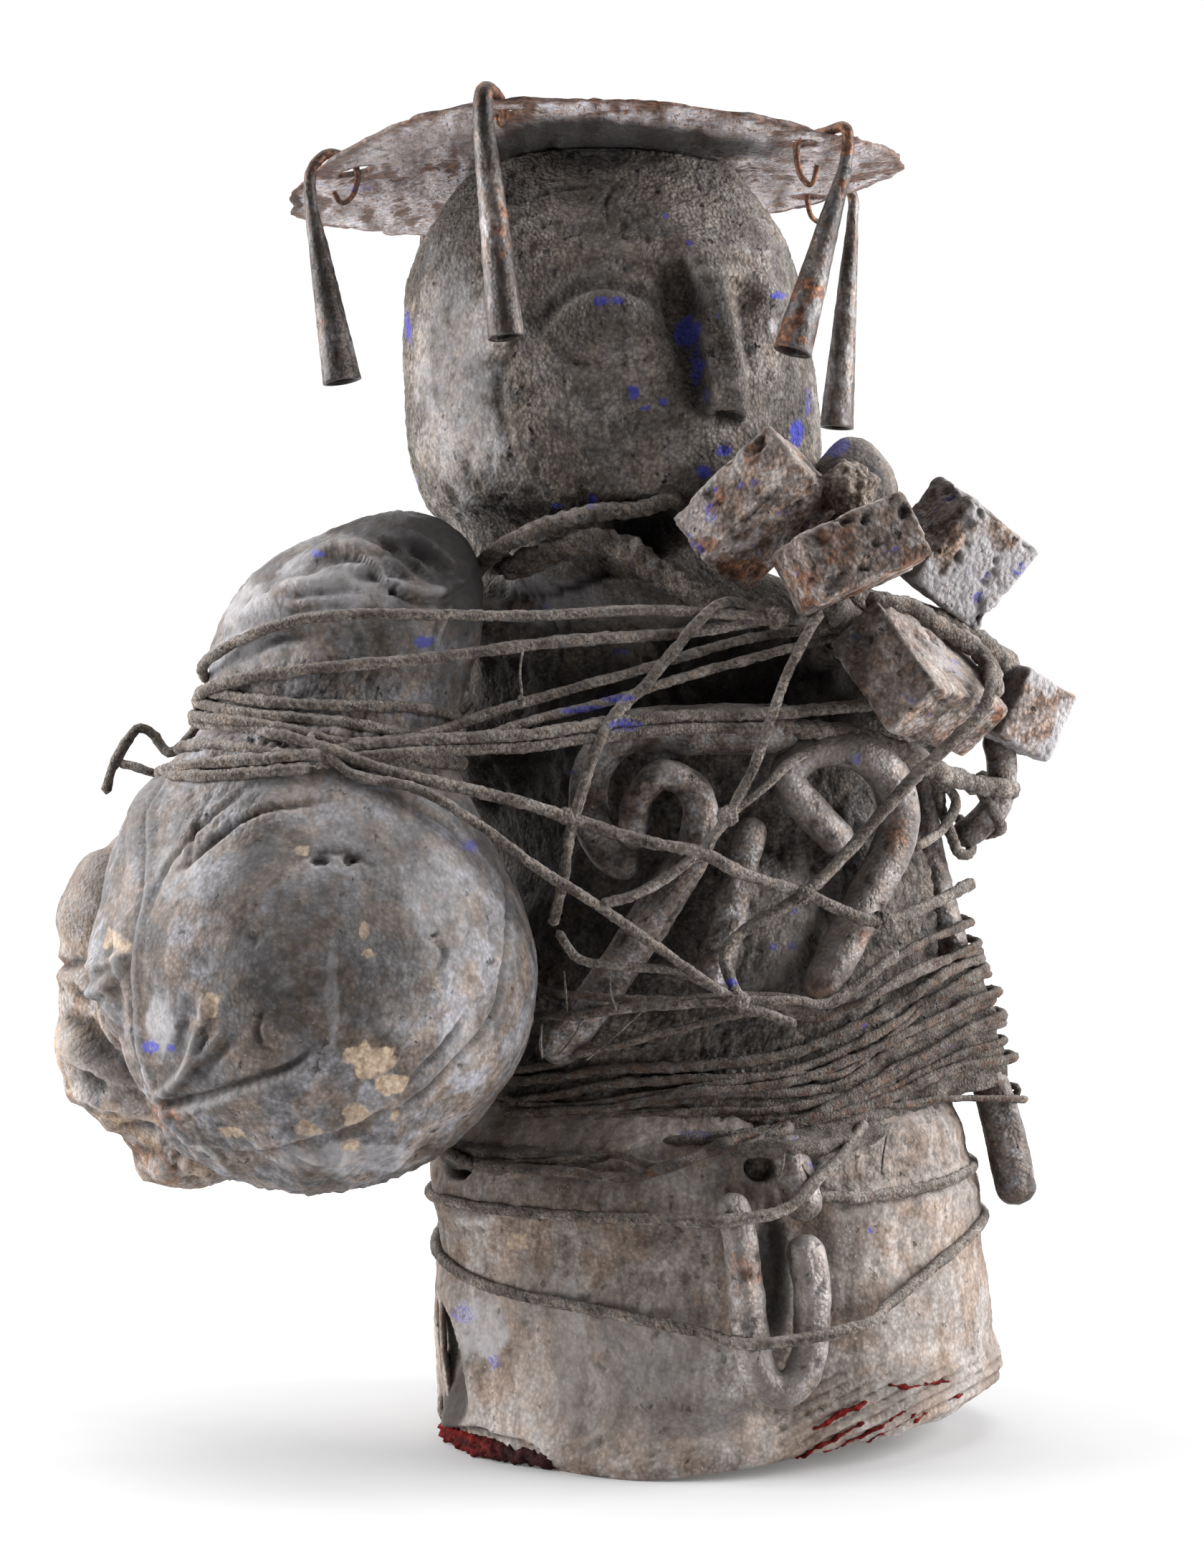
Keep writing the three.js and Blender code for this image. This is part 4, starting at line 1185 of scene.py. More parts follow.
        # painted shade under the chin, in the chest's recesses and behind the irons, beside the gourd,
        # beside the nose, over the eyes and under the disc
        dark = spots(at, ((-22, 272.3, 13, 8, 0.95), (6, 228, 38, 20, 0.9), (-63, 262, 6, 3.2, 0.8),
            (2.6, 307, 4.4, 2.4, 0.85), (-60, 186, 28, 50, 0.85), (-32, 160, 28, 36, 0.6),
            (-8.8, 338, 4.4, 16, 0.5), (-4.6, 318, 3.2, 15, 0.6), (12, 341, 7, 4, 0.3),
            (-30, 232, 24, 16, 0.35), (-34, 389, 30, 6, 0.6), (-6, 222, 66, 16, 0.85),
            (-64, 200, 20, 44, 0.8), (-30, 280, 34, 6, 0.3), (-40, 350, 8, 3, 0.35)), 0.35 * rough)
        # painted shade on the front of the face, which lies between the side lights
        soft = spots(at, ((-33, 318, 30, 44, 0.36), (-20, 288, 30, 12, 0.32), (-14, 336, 14, 16, 0.3)),
            0.2 * rough)
        # painted shade along the crease of the left eyelid
        eyelid = ((-56, 334), (-50, 342), (-44, 346.8), (-34.8, 350), (-24, 347.5), (-14, 341))
        lid = ridge(at, eyelid, 0.55, 2.6)
        dark = np.maximum(np.maximum(dark, soft), lid)
        traces = marks_at(points, out)
        relief = np.stack([hollow, worn, smooth, dark * front], -1)
        make_piece("figure_carved", Shell.from_rings(points, traces, relief), material, "crusted_wood",
            "carved_figure")


# Hat disc and its pendants


@dataclass
class HatDisc:
    """Thin sheet-iron disc with a ragged rim, six holes near it, and flaking rust."""

    centre: tuple[float, float, float] = (-37.5, 0.0, 380.3)
    radius: float = 94.0
    tilt: float = math.radians(3.9)
    thickness: float = 2.2
    hole_inset: float = 13.0
    hole_radius: float = 3.6
    rings: int = 58
    around: int = 340
    hole_rims: tuple[float, ...] = (210, 252, 317, 32, 80, 125)
    bend_at: tuple[float, ...] = (-115, -96, -72, -56, -36, -20, 2, 14, 32, 46)
    bend: tuple[float, ...] = (-1, 3.2, 5.4, 4.2, 2.2, 0.2, -2.8, -4.2, -4.6, -1.5)

    def underside(self, x: Array, y: Array) -> Array:
        """Height of the disc's underside.

        Args:
            x: places across, in mm.
            y: places in depth, in mm.

        Returns:
            The heights in mm.
        """
        across = (x - self.centre[0]) / self.radius
        deep = (y - self.centre[1]) / self.radius
        bent = np.interp(x, self.bend_at, self.bend) * step(deep, 0.1, -0.8)
        level = self.centre[2] + math.tan(self.tilt) * (x - self.centre[0])
        return level + 1.4 * deep**2 - 3.6 * across**2 + bent

    def rim_point(self, degrees: float, reach: float, above: float = 0.0) -> Array:
        """A point under the disc in that direction from its middle.

        Args:
            degrees: the direction.
            reach: distance from the middle, in mm.
            above: height over the underside, in mm.

        Returns:
            The point.
        """
        x = self.centre[0] + reach * math.cos(math.radians(degrees))
        y = self.centre[1] + reach * math.sin(math.radians(degrees))
        return np.array([x, y, float(self.underside(x, y)) + above])

    def build(self, material: Material) -> None:
        """Makes the disc, underside and top sharing their holes.

        Args:
            material: its finish.
        """
        turn = np.linspace(0, 2 * np.pi, self.around, endpoint=False)[None, :]
        reach = np.linspace(0.001, 1, self.rings)[:, None] ** 0.8
        ragged = 1 + reach**2 * (0.012 * np.sin(7 * turn + 1) + 0.009 * np.sin(17 * turn))
        flat = np.stack([np.cos(turn) * reach * self.radius, np.sin(turn) * reach * self.radius,
            0 * turn * reach], -1)
        nick = fractal(flat, 6, 91, 4)
        nicks = 0.012 * np.maximum(nick, 0) + 0.02 * step(nick, 0.75, 1.0)
        ragged = ragged - step(reach, 0.9, 1.0) * nicks
        x = self.centre[0] + flat[..., 0] * ragged
        y = self.centre[1] + flat[..., 1] * ragged
        keep = np.ones((self.rings - 1, self.around), bool)
        for degrees in self.hole_rims:
            hole = self.rim_point(degrees, self.radius - self.hole_inset)
            off = np.stack([x - hole[0], y - hole[1]], -1)
            gap = np.linalg.norm(off, axis=-1) + 1e-6
            middle = (gap[:-1] + gap[1:] + np.roll(gap, -1, 1)[:-1] + np.roll(gap, -1, 1)[1:]) / 4
            keep &= middle > self.hole_radius * 0.8
            push = np.where(gap < 2 * self.hole_radius, self.hole_radius + gap / 2, gap)
            x = hole[0] + off[..., 0] / gap * push
            y = hole[1] + off[..., 1] / gap * push
        under = self.underside(x, y)
        radial = np.stack(
            [reach * 50 + 0 * turn, 66 * np.cos(turn) + 0 * reach, 66 * np.sin(turn) + 0 * reach], -1)
        drawn = flat * (1, 0.2, 1)
        flaking = step(0.6 * fractal(radial, 12, 12, 4, 0.6) + 0.7 * fractal(drawn, 6, 13, 5, 0.7), 0.1, 0.5)
        scale = step(fractal(drawn, 12, 14, 5, 0.65), 0.1, 0.4)
        layer = 0.55 * np.maximum(flaking, scale)
        rough = 0.4 * fractal(drawn, 4, 15, 4, 0.6) + 0.5 * fractal(flat, 30, 16, 2)
        edge = step(reach, 0.93, 1.0) * 0.7
        bottom = np.stack([x, y, under + layer - rough * 0.8 + edge], -1)
        top = np.stack([x, y, under + self.thickness - 0.6 * layer[:, ::-1] + rough - edge], -1)
        wave = 0.9 * np.sin(5 * turn + 0.6) * step(reach, 0.75, 1.0)
        bottom[..., 2] += wave
        top[..., 2] += wave
        self._join(bottom, top, keep, flaking, scale, rough, material)

    def _join(self, bottom: Array, top: Array, keep: Array, flaking: Array, scale: Array, rough: Array,
              material: Material) -> None:
        """Joins underside and top at the rim, the middle and the holes, and makes the piece.

        Args:
            bottom: (rows, columns, 3) points of the underside.
            top: the same of the upper face.
            keep: which faces are there.
            flaking: where rust flakes along the streaks.
            scale: where scale lies on the iron.
            rough: the roughness in mm.
            material: the finish.
        """
        rows, columns = bottom.shape[:2]
        count = rows * columns
        index = np.arange(count).reshape(rows, columns)
        quads = np.stack([index[:-1], index[1:], np.roll(index, -1, 1)[1:], np.roll(index, -1, 1)[:-1]], -1)
        kept = quads[keep]
        faces = [kept[:, ::-1], kept + count]
        edges = np.concatenate([kept[:, [k, (k + 1) % 4]] for k in range(4)])
        twins = {(int(a), int(b)) for a, b in edges}
        open_edges = [(a, b) for a, b in twins if (b, a) not in twins]
        walls = np.array([(a, b, b + count, a + count) for a, b in sorted(open_edges)])
        rust = clipped(0.85 * flaking + 0.25 * scale)
        points = np.vstack([bottom.reshape(-1, 3), top.reshape(-1, 3)])
        near_hole = np.zeros(len(points))
        for degrees in self.hole_rims:
            hole = self.rim_point(degrees, self.radius - self.hole_inset)
            gap = np.linalg.norm(points[:, :2] - hole[:2], axis=1)
            near_hole = np.maximum(near_hole, step(gap, 8.5, 4.0))
        reach = np.linalg.norm(points[:, :2] - np.array(self.centre[:2]), axis=1) / self.radius
        rim = step(reach, 0.93, 1.0)
        both = np.concatenate([rust.ravel(), rust[:, ::-1].ravel()])
        all_rust = np.maximum(np.maximum(both, near_hole), 0.85 * rim)
        below = np.arange(len(points)) < count
        normals = np.tile((0.0, -1.0, 0.0), (len(points), 1))
        traces = marks_at(points, normals, False)
        traces[:, 1] = np.where(below, all_rust, np.maximum(all_rust, 0.55))
        flat_rough = np.concatenate([rough.ravel(), rough.ravel()])
        # painted shadow on the underside round the head's top; the upper face is darkened all over
        from_head = np.hypot((points[:, 0] + 31) / 48, (points[:, 1] + 46) / 29)
        shade = step(from_head + 0.2 * flat_rough, 1.25, 0.75)
        shade = np.where(below, shade, 0.62 - 0.12 * flat_rough)
        relief = np.stack([0.35 * all_rust, np.clip(flat_rough * 1.2, 0, 0.8), 0 * reach, shade], -1)
        faces = [tuple(f) for block in (*faces, walls) for f in block.tolist()]
        make_piece("hat_disc_sheet", Shell(points, faces, traces, relief), material, "rusted_sheet",
            "hat_disc")


@dataclass
class Pendant:
    """Sheet iron rolled to a hollow cone, its thin end bent to a hook through a hole near the disc's rim."""

    number: int
    rim: float
    mouth: tuple[float, float]
    drop: float
    loop: float = 7.0
    curl: float = 8.0
    mouth_radius: float = 5.4
    outward: float = 4.2
    neck_radius: float = 1.9
    wall: float = 0.9
    sides: int = 40
    rust: float = 0.4

    def build(self, material: Material, disc: HatDisc) -> None:
        """Makes the pendant with its hook through the disc.

        Args:
            material: its finish.
            disc: the disc that it hangs from.
        """
        inner = disc.radius - disc.hole_inset
        outside = disc.rim_point(self.rim, disc.radius + self.outward)
        shoulder = outside - (0, 0, 8)
        mouth = np.array([*self.mouth, outside[2] - self.drop])
        rim = ((inner + 7, -0.55 * self.curl), (inner + 4.5, -self.curl), (inner + 0.8, -0.75 * self.curl),
               (inner - 0.6, 0.5), (inner + 2.2, 0.7 * self.loop), (disc.radius - 4, self.loop))
        hook = [disc.rim_point(self.rim, reach, above) for reach, above in rim]
        hook += [outside + (0, 0, 2), *(shoulder + share * (mouth - shoulder) for share in (0, 0.2, 0.6, 1))]
        path = smooth_route(hook, 0.9)
        walked = lengths(path)
        start = walked[np.argmin(np.linalg.norm(path - shoulder, axis=1))]
        part = clipped((walked - start) / (walked[-1] - start))
        wire = 0.8 + (self.neck_radius - 0.8) * step(walked, 4, start)
        radius = wire + (self.mouth_radius - self.neck_radius) * part**0.85

        def rolled(length: Array, turn: Array) -> Array:
            """The sheet's free edge laps over the start of the roll.

            Args:
                length: distance along the pendant.
                turn: direction round it.

            Returns:
                What the radius is multiplied by.
            """
            along = clipped((length - start) / (walked[-1] - start))
            lap = 0.16 * along * (np.mod(turn + 0.5 + 0.15 * self.number, 2 * np.pi) / (2 * np.pi))
            return 0.97 + lap - 0.05 * along * (np.abs(np.sin(turn)) ** 4)

        rings, out = tube(path, radius, self.sides, rolled, round_ends=False)
        rings = rings[:-1]
        out = out[:-1]
        rough = 0.12 * fractal(rings, 4, 40 + self.number, 3)
        rough += 0.08 * fractal(rings, 1.5, 50 + self.number, 2)
        rings = rings + out * rough[..., None]
        deep = int(0.62 * len(path) * (1 - start / walked[-1]))
        middle = path[-deep:][::-1]
        bore = rings[-deep:][::-1]
        width = np.linalg.norm(bore - middle[:, None], axis=-1, keepdims=True)
        shrink = np.maximum(1 - self.wall / np.maximum(width, 1e-6), 0.1)
        inside = middle[:, None] + (bore - middle[:, None]) * shrink
        whole = np.concatenate([rings, inside])
        marks = np.concatenate([out, -out[-deep:][::-1]])
        traces = marks_at(whole, marks, False)
        shadow = 0.85 * bump(wrapped(np.linspace(0, 2 * np.pi, self.sides, endpoint=False) - 0.8), 1.0)
        rusty = step(fractal(whole, 7, 60 + self.number, 3), 0.6 - self.rust, 1.1 - self.rust)
        traces[..., 1] = self.rust * rusty
        wire_rust = np.concatenate([[0.9], 0.9 * step(walked, start - 4, start - 14), np.zeros(deep)])
        traces[..., 1] = np.maximum(traces[..., 1], wire_rust[: len(whole), None])
        relief = np.zeros((*whole.shape[:2], 4))
        # painted shade inside the rolled cone
        relief[len(rings):, :, 0] = 0.9
        relief[: len(rings), :, 2] = 0.5
        relief[: len(rings), :, 3] = shadow * step(noise(rings, 9, 65), -0.6, 0.4)
        name = f"pendant_{self.number}"
        make_piece(f"{name}_rolled", Shell.from_rings(whole, traces, relief), material, "rolled_iron", name)


# Gourd in its hide cover


@dataclass
class Gourd:
    """Double-lobed gourd in a stiff hide cover, seamed at the left and gathered in folds below."""

    rows: int = 262
    columns: int = 270

    def creases(self, at: Array) -> Array:
        """Seam, flaps, folds and tears seen on the cover.

        Args:
            at: seen places.

        Returns:
            The rise in mm.
        """
        seam = ((-170.5, 196), (-174.7, 187), (-175.6, 171.6), (-176, 161.9), (-178.9, 147.4),
            (-179.7, 126.5), (-176.7, 107.8), (-172.5, 97.4), (-165.2, 87.1), (-154.9, 80.9))
        rise = ledge(at, seam, 1.3, 8, 0.9) + ridge(at, [(x + 1.8, z) for x, z in seam], 0.8, 1.5, 0.5)
        rise += ridge(at, seam, -1.7, 1.2, 0.5) + ridge(at, [(x - 4.5, z) for x, z in seam], 0.8, 3.0, 0.5)
        flap = ((-171.6, 97.4), (-167.4, 95.4), (-158.4, 97.2), (-148.7, 100.5), (-138.6, 103.8),
            (-128.9, 107.8), (-123.2, 112.9))
        rise += (ledge(at, flap[::-1], 2.3, 16, 1.0)
                 + ridge(at, [(x - 0.4, z + 1.5) for x, z in flap], -1.3, 1.9))
        # route, height, half width, share of the height left at the ends, steepness
        lines = (
            (((-171.5, 99), (-163.5, 106.2), (-159.6, 116), (-157.6, 128)), 2.8, 2.4, 0.3, 1.2),
            (((-163.5, 106.2), (-158, 112), (-152, 119.5)), 1.8, 1.7, 0.4, 1.2),
            (((-165.6, 112), (-164, 120), (-162, 129)), -1.4, 2.6),
            (((-158, 106), (-152, 113), (-147, 118)), -1.6, 2.6),
        )
        for line in lines:
            rise += ridge(at, *line)
        rise += ledge(at, ((-165.2, 87.1), (-156.2, 84), (-144.5, 82.9), (-134.2, 84.7), (-123.6, 88.2),
            (-110.2, 92.4), (-96.8, 99)), 2.0, 14, 1.2)
        rise += ledge(at, ((-134.2, 82), (-123.2, 79.6), (-110, 80.9), (-96.8, 85.8), (-85.4, 91.9)), 1.5, 9)
        # route, height, half width, share of the height left at the ends, steepness
        lines = (
            (((-193.4, 138.6), (-187, 140.3), (-180, 143.8)), 1.8, 2.2),
            (((-182.2, 140.8), (-189.2, 132.4), (-195.4, 127.6), (-198.4, 120.5)), 2.6, 3.2),
            (((-187, 149.6), (-184.8, 132), (-183.7, 116.6), (-181.5, 105.6)), -2.4, 2.6),
            (((-161.7, 127.6), (-158.4, 118.8), (-160.6, 107.8)), -1.5, 2.6),
        )
        for line in lines:
            rise += ridge(at, *line)
        cracks = (
            ((-142.3, 194), (-152.9, 185.7), (-163.2, 176.4), (-169.4, 168.1), (-174, 155)),
            ((-64.5, 168.1), (-63.6, 153.5), (-64.7, 138.6), (-66.7, 126.5), (-72.2, 117.9), (-79.2, 110.8),
             (-92.6, 98.5), (-103, 92.4)),
            ((-75.9, 126.5), (-80.3, 118.8), (-88, 110), (-96.8, 102.3)),
            ((-91.3, 149.6), (-83.6, 143.8), (-88, 134)),
            ((-154, 193.6), (-159.5, 180.4), (-163.4, 167.2)),
            ((-128, 172.5), (-122, 174.4), (-112, 174), (-106, 170)),
            ((-139, 126), (-141, 118), (-136, 112)),
            ((-95, 190), (-82, 182), (-72, 170)),
            ((-108.6, 270), (-100, 268), (-93, 262)),
            ((-100.5, 266), (-94, 261), (-88, 258.5)),
        )
        for crack in cracks:
            rise += ridge(at, crack, -1.5, 1.3, 0.2)
        rise += ledge(at, ((-119, 266.6), (-109.6, 264.6), (-100.9, 255.9), (-90.2, 251), (-76, 253)), 2.6,
            10, 0.8)
        rise += (ridge(at, ((-152, 241), (-140, 246), (-129, 249), (-113, 249.6)), -2.4, 2.6)
                 + ridge(at, ((-150, 246), (-138, 251), (-124, 254)), 1.8, 3.0))
        folds = (
            ((-88, 268.4), (-82.5, 259.6), (-79.2, 248.6)), ((-100, 269), (-90, 262), (-80, 258)),
            ((-106, 273), (-94.6, 270.1), (-85.4, 266.2)), ((-79.2, 255.2), (-84, 244.2), (-84.7, 231)),
            ((-141, 252), (-128, 257), (-112, 258)), ((-130, 262), (-118, 268), (-104, 267)),
            ((-98, 257), (-88, 254), (-76, 259)), ((-146, 238), (-136, 243), (-122, 245)),
            ((-96, 274), (-86, 264), (-76, 262)), ((-112, 262), (-98, 262), (-90, 258)),
        )
        for fold in folds:
            rise += ridge(at, fold, 2.2, 3.2) + ridge(at, [(x + 0.5, z - 3.6) for x, z in fold], -2.1, 2.6)
        return rise

    def build(self, material: Material) -> None:
        """Makes the piece.

        Args:
            material: its finish.
        """
        angle, z = round_grid(even_heights(GOURD_LEVELS, 78.2, 274.8, self.rows), self.columns)
        folds = (1.6 * np.sin(9 * angle + z / 9) * bump(z - 96, 26)
                 + 1.1 * np.sin(7 * angle - z / 11) * bump(z - 250, 30))
        tucked = -9 * bump(z - 86, 34) * bump(wrapped(angle + 0.35), 0.9)
        left_flap = (7.5 * bump(z - 186, 27) + 5 * bump(z - 152, 38)) * bump(wrapped(angle - np.pi), 0.7)
        points = loft(GOURD_LEVELS, angle, z, 2, folds * 0.6 + left_flap + tucked)
        out = normals_of(points)
        upward = 0.7 * clipped(out[..., 2]) * step(z, 232, 248)
        front = step(upward - out[..., 1], -0.2, 0.1)
        at = seen(points)
        rise = self.creases(at) * front
        rows = ((-150, 186, 22, 11, 1), (-118, 206, 46, 9, 1), (-110, 224, 44, 11, 1))
        crusty = np.maximum(spots(at, rows, 0.3 * noise(points, 9, 19)) * front,
                            bump(z - 214, 26) * (1 - front))
        plates = cells(points * (1.25, 1, 0.8) + 1.6 * fractal(points, 4, 17, 2)[..., None], 4.0, 20)
        lines = step(plates[1] - plates[0], 0.1, 0.02)
        crust = crusty * (0.5 + 0.8 * fractal(points, 5, 21, 5, 0.6) - 0.35 * lines)
        crust = crust + crusty * 0.5 * grains(points, 1.9, 24)
        waist = spots(at, ((-122, 205, 44, 8, 1),), 0.4 * noise(points, 8, 16)) * front
        crust = crust + waist * (1.6 + 1.9 * fractal(points, 5, 18, 4, 0.65))
        crust = crust + 2.0 * ridge(at, ((-119, 190), (-140, 186), (-150, 180), (-158, 174), (-164, 169)),
            -1, 1.4)
        wrinkles = 0.5 * fractal(points * (1, 1, 0.6), 12, 22, 5, 0.6) + 0.9 * fractal(points, 34, 25, 2)
        dents = cells(points, 15, 33)
        patch = step(fractal(points, 30, 34, 2), 0.0, 0.4)
        wrinkles = wrinkles - 0.45 * step(dents[1] - dents[0], 0.09, 0.0) * patch
        lower = step(z, 118, 84)
        gathers = lower * (1.5 * fractal(points * (1, 1, 0.4), 9, 26, 3) + 0.5 * fractal(points, 3.5, 27, 3))
        tattered = spots(at, ((-174, 92, 26, 13, 1), (-190, 122, 12, 26, 0.8))) * front
        gathers = gathers + tattered * (1.6 * fractal(points, 7, 28, 4, 0.65))
        holes = ((-99.5, 254.4, 1.4, 1.2, 1), (-86.6, 149, 0.8, 0.8, 0.8), (-142.5, 147.4, 2.6, 2.0, 0.35),
            (-121.5, 172.2, 3.0, 1.4, 1), (-112.5, 172.4, 2.6, 1.6, 0.9), (-78.6, 108, 0.9, 0.8, 1))
        holed = spots(at, holes, 0.7 * fractal(points, 2.4, 38, 3)) * front
        total = rise + crust + wrinkles + gathers - 2.2 * holed
        total = (total + 0.12 * fractal(points, 2.6, 29, 3)
                 + 0.5 * fractal(points * (1, 1, 0.6), 6, 39, 4, 0.6) * step(z, 224, 246))
        hollow, worn = low_and_high(total, 8, 1.1, 1.4)
        points = points + out * total[..., None]
        # painted shade in folds, holes and along the seam, and on the ball's middle, which faces the eye
        # between the side lights; the top right is also the hide's dark brown
        deep = ((-85, 268, 22, 13, 1), (-76, 256, 11, 24, 1), (-104, 275, 22, 5, 0.8),
            (-132, 246, 18, 2.4, 0.2), (-118, 199, 20, 2.4, 0.8), (-130, 241, 14, 3, 0.25),
            (-98, 226, 26, 8, 0.3), (-84, 232, 14, 12, 0.45), (-116, 260, 8, 3, 0.2))
        broad = ((-122, 148, 32, 28, 0.38), (-126, 152, 20, 17, 0.5), (-118, 133, 15, 12, 0.5),
            (-142, 150, 10, 9, 0.4), (-94, 252, 14, 5, 0.4), (-150, 100, 20, 6, 0.3),
            (-96, 226, 30, 26, 0.3))
        blotch = 0.8 * fractal(points, 16, 37, 4, 0.6)
        dark = np.maximum(spots(at, deep, 0.4 * blotch), spots(at, broad, blotch)) * front
        seam = ridge(at, ((-169.5, 196), (-174, 187), (-175, 171.6), (-175.3, 162), (-178.3, 147),
            (-179, 126), (-176, 108)), 0.6, 2.2)
        dark = np.maximum(dark, np.maximum(0.95 * holed, seam * front))
        traces = marks_at(points, out)
        orange = spots(at, ((-178, 92, 16, 7, 0.9), (-186, 108, 8, 12, 0.5), (-132, 84, 9, 3, 0.5)),
            0.7 * fractal(points, 5, 30, 3))
        traces[..., 1] = orange * front * 0.8
        relief = np.stack([hollow, worn * (1 - holed), (1 - crusty) * 0.8, dark], -1)
        make_piece("gourd_cover", Shell.from_rings(points, traces, relief), material, "hide", "gourd")


@dataclass
class ClothBundle:
    """Cloth and hide gathered in a lump behind the gourd."""

    centre: tuple[float, float, float] = (-150.0, -38.0, 136.0)
    half: tuple[float, float, float] = (45.5, 40.0, 55.5)
    rows: int = 92
    columns: int = 156

    def build(self, material: Material) -> None:
        """Makes the piece.

        Args:
            material: its finish.
        """
        points = ball(self.rows, self.columns, 0.02, self.centre, self.half)
        out = normals_of(points)
        at = seen(points)
        low = np.maximum(step(at[..., 1], 146, 132), 0.7 * step(out[..., 1], -0.1, 0.4))
        lines = ((0.5 + 1.3 * low) * fractal(points * (1, 0.5, 0.7), 15, 45, 3)
                 + (0.3 + 0.5 * low) * fractal(points, 5, 46, 4))
        folds = (((-202, 138), (-192, 132), (-186, 120), (-184, 108)),
                 ((-199, 120), (-192, 112), (-185, 104), (-178, 96)),
                 ((-196, 104), (-186, 97), (-176, 90)), ((-190, 90), (-180, 84), (-168, 80)))
        for fold in folds:
            beside = [(x + 2.6, z + 4.2) for x, z in fold]
            lines = lines + low * (ridge(at, fold, 2.4, 3.4) + ridge(at, beside, -3.0, 3.4))
        lines = lines + ridge(at, ((-206, 139), (-196, 140.5), (-186, 144)), -2.6, 2.4, 0.8)
        bulges = ((-160, 79, 14, 8, 5), (-197, 163, 14, 16, 3.5), (-202, 108, 12, 12, 2.5))
        total = lines + spots(at, bulges, 0.3 * lines)
        total = total - 3 * spots(at, ((-182, 82, 9, 8, 1),)) - 2 * spots(at, ((-200, 126, 12, 10, 1),))
        high = step(at[..., 1] + 5 * fractal(points, 12, 50, 3), 136, 148)
        shade = 0.45 * high * (0.35 + 0.65 * step(-out[..., 1], -0.3, 0.3))
        relief = np.stack([*low_and_high(total, 6, 1.0, 1.2), 0 * total, shade], -1)
        points = points + out * total[..., None]
        traces = marks_at(points, out)
        orange = spots(at, ((-203, 139, 8, 4, 0.9), (-200, 98, 6, 4, 0.9), (-180, 82, 16, 5, 0.45),
            (-165, 76, 14, 3, 0.3)), 0.3 * total)
        traces[..., 1] = np.maximum(orange, 0.4 * step(fractal(points, 15, 48, 3), 0.3, 0.7))
        traces[..., 3] = 0.6 * step(fractal(points, 8, 49, 3), 0.2, 0.7) * low
        make_piece("bundle_gathered", Shell.from_rings(points, traces, relief), material, "bundle_cloth",
            "cloth_bundle")


# Hide wrap round the base


